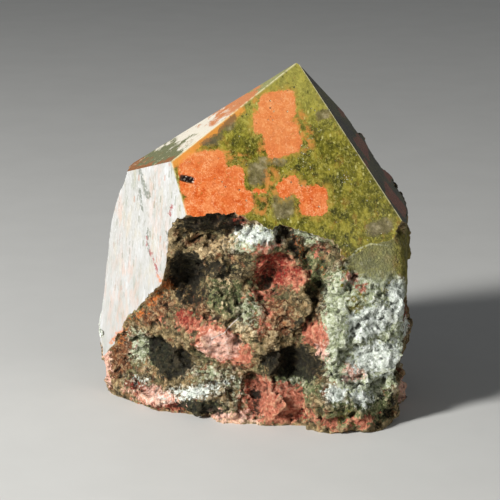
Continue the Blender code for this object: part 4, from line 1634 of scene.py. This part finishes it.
def broken_material(groups, colours):
    """Rough broken rock: dark sugary ground with its minerals laid over it place by place, then painted shade
    in its hollows and painted highlights on its crests.
    """
    material, recipe, shader = new_material("broken_unakite", groups, Specular_IOR_Level=0.25)
    place = stone_position(recipe)
    shades = (paint(34, 28, 12), tuple(colours.rock), paint(158, 132, 90))
    colour = mottled(recipe, place, 2.0, shades, 0.15)
    colour = laid_clouds(recipe, place, colour, ROCK_CLOUDS)
    depth = recipe.part(place, "Y")
    in_front = recipe.spread(depth, -6.0, -3.0, 1.0, 0.0)
    worn = recipe.spread(kept(recipe, "worn"), 0.1, 0.7)
    rugged = recipe.maths("SUBTRACT", 1.0, recipe.times(worn, 0.8))
    plain = recipe.times(kept(recipe, "salmon"), -0.65)
    rugged = recipe.times(rugged, recipe.maths("ADD", plain, 1.0))
    # The dark blocks are painted shade: they are kept apart and laid over the grains at the end.
    dark = None
    for name, (shades, grain) in MINERAL_SHADES.items():
        values = {
            "Cover": kept(recipe, name),
            "Position": place,
            "Grain": grain,
            "Break Up": 1.0 if name == "dark" else 1.15,
        }
        mask = recipe.group("dissolve", values)["Mask"]
        tint = mottled(recipe, place, 0.9, [paint(*shade) for shade in shades], 0.2)
        if name == "dark":
            dark = (mask, tint)
        else:
            colour = recipe.mix(mask, colour, tint)

    olive = epidote_colour(recipe, place, colours)
    across = recipe.part(place, "X")
    olive = recipe.mix(recipe.spread(across, 28.5, 31.0, 0.55, 0.1), olive, paint(134, 136, 106))
    colour = recipe.mix(weighted(recipe, worn, 0.85), colour, olive)
    # The pale edge: wear, and a painted highlight.
    colour = worn_edge_highlight_laid(recipe, place, colour, in_front)

    # Bright and dim grains: light and dark crystals, and painted glints and shade of the fine relief.
    cool = recipe.maths("MAXIMUM", kept(recipe, "sugar"), kept(recipe, "pale_green"))
    light = recipe.mix(cool, paint(206, 182, 138), paint(230, 234, 224))
    shadow = recipe.mix(cool, paint(38, 28, 14), paint(44, 52, 32))
    chances = recipe.chances(recipe.cells(place, ROCK_GRAIN))
    bright = recipe.times(recipe.spread(chances["Red"], 0.74, 1.0), rugged)
    colour = recipe.mix(weighted(recipe, bright, 0.38), colour, light)
    dim = recipe.times(recipe.spread(chances["Red"], 0.0, 0.36, 1.0, 0.0), rugged)
    colour = recipe.mix(weighted(recipe, dim, 0.55), colour, shadow)
    fine = recipe.noise(place, 0.3, 2.0)
    colour = grainy(recipe, colour, fine, light, shadow, recipe.times(rugged, 0.5))

    # Painted shade of the dark blocks.
    colour = recipe.mix(weighted(recipe, dark[0], 0.93), colour, dark[1])
    # Painted shade: darker in small pits and in larger hollows.
    sunk = recipe.spread(kept(recipe, "pit"), 0.02, 0.30)
    colour = laid(recipe, colour, sunk, 0.75, (22, 18, 9))
    deep = recipe.spread(kept(recipe, "hollow"), 0.25, 1.6)
    colour = laid(recipe, colour, deep, 0.6, (24, 20, 10))
    # Painted highlights: paler on crests that stand above the surface round them.
    raised = recipe.spread(kept(recipe, "pit"), -0.30, -0.04, 1.0, 0.0)
    raised = recipe.times(raised, recipe.maths("SUBTRACT", 1.0, weighted(recipe, dark[0], 0.85)))
    colour = recipe.mix(weighted(recipe, raised, 0.25), colour, light)

    fibre = recipe.times(streaks(recipe, place, LINT), in_front)
    colour = laid(recipe, colour, fibre, 0.7, (226, 214, 204))
    recipe.feed(shader.inputs["Base Color"], colour)
    rough = recipe.spread(chances["Green"], 0.0, 0.25, 0.38, 0.85)
    recipe.feed(shader.inputs["Roughness"], rough)
    lumps = recipe.times(chances["Blue"], 0.5)
    height = recipe.maths("ADD", lumps, recipe.noise(place, 0.5, 3.0, 0.7))
    bumped(recipe, shader, height, ROCK_BUMP)
    return material


def stone_materials(colours):
    """The three finishes of the stone."""
    groups = shader_groups()
    return {
        "polished": polished_material(groups, colours),
        "side": side_material(groups, colours),
        "broken": broken_material(groups, colours),
    }


def colour_property(name, description, default):
    """A colour that can be changed in the panel."""
    return bpy.props.FloatVectorProperty(
        name=name,
        description=description,
        subtype="COLOR",
        size=4,
        min=0.0,
        max=1.0,
        default=default,
    )


def length_property(name, description, default, low, high):
    """A length that can be changed in the panel."""
    return bpy.props.FloatProperty(
        name=name,
        description=description,
        default=default,
        min=low,
        max=high,
        unit="LENGTH",
        precision=5,
    )


class StoneShapeSettings(bpy.types.PropertyGroup):
    """How finely the stone is meshed, and how its broken surface is grained."""

    lump_cell: length_property(
        "Lump Cell", "Size of the mesh cells that carry the larger relief", 0.0006, 0.0003, 0.002
    )
    grain_cell: length_property(
        "Grain Cell", "Size of the mesh cells that carry the grains", 0.000427, 0.0003, 0.002
    )
    grain_size: length_property(
        "Grain Size", "Size of the grains that the broken surface is made of", 0.0016, 0.0004, 0.006
    )
    grain_step: length_property(
        "Grain Step", "Largest step in height from one grain to the next", 0.00034, 0.0, 0.002
    )
    grain_slope: bpy.props.FloatProperty(
        name="Grain Slope",
        description="How much the flat top of each grain may lean",
        default=0.5,
        min=0.0,
        max=2.0,
    )
    crumb_size: length_property(
        "Crumb Size", "Size of the crumbs between the grains", 0.0009, 0.0004, 0.006
    )
    crumb_height: length_property(
        "Crumb Height", "Height of the crumbs between the grains", 0.0005, 0.0, 0.002
    )
    seed: bpy.props.IntProperty(
        name="Seed",
        description="Number that sets the random steps and slopes of the grains",
        default=7,
        min=0,
        max=1000,
    )
    sharp_angle: bpy.props.FloatProperty(
        name="Sharp Angle",
        description="Edges of the broken surface that turn more than this stay sharp",
        default=math.radians(38.0),
        min=0.0,
        max=math.pi,
        subtype="ANGLE",
    )


class StoneColourSettings(bpy.types.PropertyGroup):
    """The main colours of the stone."""

    epidote: colour_property("Epidote", "Green of the polished stone", paint(96, 91, 22))
    epidote_light: colour_property(
        "Light Epidote", "Yellow-green clouds in the green", paint(140, 130, 44)
    )
    feldspar: colour_property("Feldspar", "Orange blocks in the polished stone", paint(209, 104, 46))
    feldspar_light: colour_property(
        "Light Feldspar", "Paler crystals in the orange", paint(220, 138, 82)
    )
    quartz: colour_property("Quartz", "Grey-brown spots in the polished stone", paint(106, 96, 66))
    side: colour_property("Side", "Near-white of the honed side", paint(166, 165, 161))
    rock: colour_property("Rock", "Brown-olive ground of the broken rock", paint(92, 78, 48))


class StageSettings(bpy.types.PropertyGroup):
    """The floor, the camera and the lights."""

    view_distance: bpy.props.FloatProperty(
        name="View Distance",
        description="Distance of the camera from the middle of the stone",
        default=0.45,
        min=0.1,
        max=5.0,
        unit="LENGTH",
    )
    view_height: bpy.props.FloatProperty(
        name="View Angle",
        description="How far the camera looks down from level",
        default=math.radians(15.0),
        min=0.0,
        max=math.pi / 2,
        subtype="ANGLE",
    )
    view_width: length_property(
        "View Width", "Width of the scene that the camera sees at the stone", 0.11186, 0.02, 2.0
    )
    key_power: bpy.props.FloatProperty(
        name="Main Light",
        description="Power of the soft main light on the left",
        default=10.1,
        min=0.0,
        max=500.0,
        unit="POWER",
    )
    fill_power: bpy.props.FloatProperty(
        name="Fill Light",
        description="Power of the weak, broad light on the right",
        default=1.0,
        min=0.0,
        max=500.0,
        unit="POWER",
    )
    room_light: bpy.props.FloatProperty(
        name="Room Light",
        description="Strength of the even light from all round",
        default=0.12,
        min=0.0,
        max=5.0,
    )
    floor_colour: colour_property("Floor", "Colour of the plain floor", paint(206, 205, 200))


# The place that the camera and the lights point at.
VIEW_TARGET = (-1.45, 0.0, 34.2)
# The camera's sensor in millimetres, and how near it sees, in metres.
SENSOR_WIDTH = 36.0
NEAREST_SEEN = 0.01
# Half the side of the floor in metres, and how much darker its mottle is.
FLOOR_REACH = 2.5
FLOOR_MOTTLE = 0.96


def add_floor(colour):
    """A plain pale floor just under the flat spot."""
    mesh = bpy.data.meshes.new("floor")
    corners = [(-FLOOR_REACH, -FLOOR_REACH), (FLOOR_REACH, -FLOOR_REACH)]
    corners += [(FLOOR_REACH, FLOOR_REACH), (-FLOOR_REACH, FLOOR_REACH)]
    mesh.from_pydata([(x, y, 0.0) for x, y in corners], [], [(0, 1, 2, 3)])
    material, recipe, shader = new_material("plain_floor", Roughness=0.7)
    place = recipe.node("ShaderNodeTexCoord").outputs["Object"]
    mottle = recipe.spread(recipe.noise(place, 0.02), 0.2, 0.8)
    shade = tuple(FLOOR_MOTTLE * part for part in colour[:3]) + (1.0,)
    recipe.feed(shader.inputs["Base Color"], recipe.mix(mottle, tuple(colour), shade))
    mesh.materials.append(material)
    floor = held(mesh)


def add_light(name, direction, distance, size, power):
    """A square soft light that points at the middle of the stone."""
    light = bpy.data.lights.new(name, "AREA")
    light.size = size
    light.energy = power
    holder = bpy.data.objects.new(name, light)
    towards = Vector(direction).normalized()
    holder.location = Vector(VIEW_TARGET) * MM + towards * distance
    holder.rotation_euler = towards.to_track_quat("Z", "Y").to_euler()
    bpy.context.scene.collection.objects.link(holder)


def add_camera(stage):
    """The camera at the photograph's angle, in front of the stone."""
    camera = bpy.data.cameras.new("camera")
    camera.sensor_width = SENSOR_WIDTH
    camera.lens = SENSOR_WIDTH * stage.view_distance / stage.view_width
    camera.clip_start = NEAREST_SEEN
    holder = bpy.data.objects.new("camera", camera)
    towards = Vector((0.0, -math.cos(stage.view_height), math.sin(stage.view_height)))
    holder.location = Vector(VIEW_TARGET) * MM + towards * stage.view_distance
    holder.rotation_euler = towards.to_track_quat("Z", "Y").to_euler()
    bpy.context.scene.collection.objects.link(holder)
    bpy.context.scene.camera = holder


def add_room_light(strength):
    """Even light from all round."""
    world = bpy.data.worlds.new("studio")
    world.use_nodes = True
    background = world.node_tree.nodes["Background"]
    background.inputs["Color"].default_value = paint(226, 232, 240)
    background.inputs["Strength"].default_value = strength
    bpy.context.scene.world = world


class MESH_OT_unakite_stone(bpy.types.Operator):
    """Make the unakite point with its three finishes"""

    bl_idname = "mesh.unakite_stone"
    bl_label = "Unakite Stone"

    def execute(self, context):
        scene = context.scene
        mesh = stone_mesh(scene.unakite_shape, stone_materials(scene.unakite_colours))
        mesh.name = "unakite_stone"
        stone = held(mesh)
        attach(stone, "root")
        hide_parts(NODE)
        return {"FINISHED"}


class SCENE_OT_unakite_stage(bpy.types.Operator):
    """Add the floor, the lights and the camera"""

    bl_idname = "scene.unakite_stage"
    bl_label = "Unakite Stage"

    def execute(self, context):
        stage = context.scene.unakite_stage
        add_floor(stage.floor_colour)
        add_light("main_light", *MAIN_LIGHT, stage.key_power)
        add_light("fill_light", *FILL_LIGHT, stage.fill_power)
        add_camera(stage)
        add_room_light(stage.room_light)
        context.scene.view_settings.view_transform = "Standard"
        return {"FINISHED"}


class VIEW3D_PT_unakite(bpy.types.Panel):
    """Settings and buttons for the stone and its stage"""

    bl_idname = "VIEW3D_PT_unakite"
    bl_label = "Unakite Point"
    bl_space_type = "VIEW_3D"
    bl_region_type = "UI"
    bl_category = "Unakite"

    def draw(self, context):
        scene = context.scene
        sections = (
            (scene.unakite_shape, MESH_OT_unakite_stone.bl_idname),
            (scene.unakite_colours, None),
            (scene.unakite_stage, SCENE_OT_unakite_stage.bl_idname),
        )
        for settings, button in sections:
            box = self.layout.box()
            for name in settings.__annotations__:
                box.prop(settings, name)
            if button:
                box.operator(button)


CLASSES = (
    StoneShapeSettings,
    StoneColourSettings,
    StageSettings,
    MESH_OT_unakite_stone,
    SCENE_OT_unakite_stage,
    VIEW3D_PT_unakite,
)


def register():
    for kind in CLASSES:
        bpy.utils.register_class(kind)
    scene = bpy.types.Scene
    scene.unakite_shape = bpy.props.PointerProperty(type=StoneShapeSettings)
    scene.unakite_colours = bpy.props.PointerProperty(type=StoneColourSettings)
    scene.unakite_stage = bpy.props.PointerProperty(type=StageSettings)


def unregister():
    scene = bpy.types.Scene
    del scene.unakite_stage
    del scene.unakite_colours
    del scene.unakite_shape
    for kind in reversed(CLASSES):
        bpy.utils.unregister_class(kind)


def main():
    register()
    bpy.ops.scene.unakite_stage()
    bpy.ops.mesh.unakite_stone()


if __name__ == "__main__":
    main()
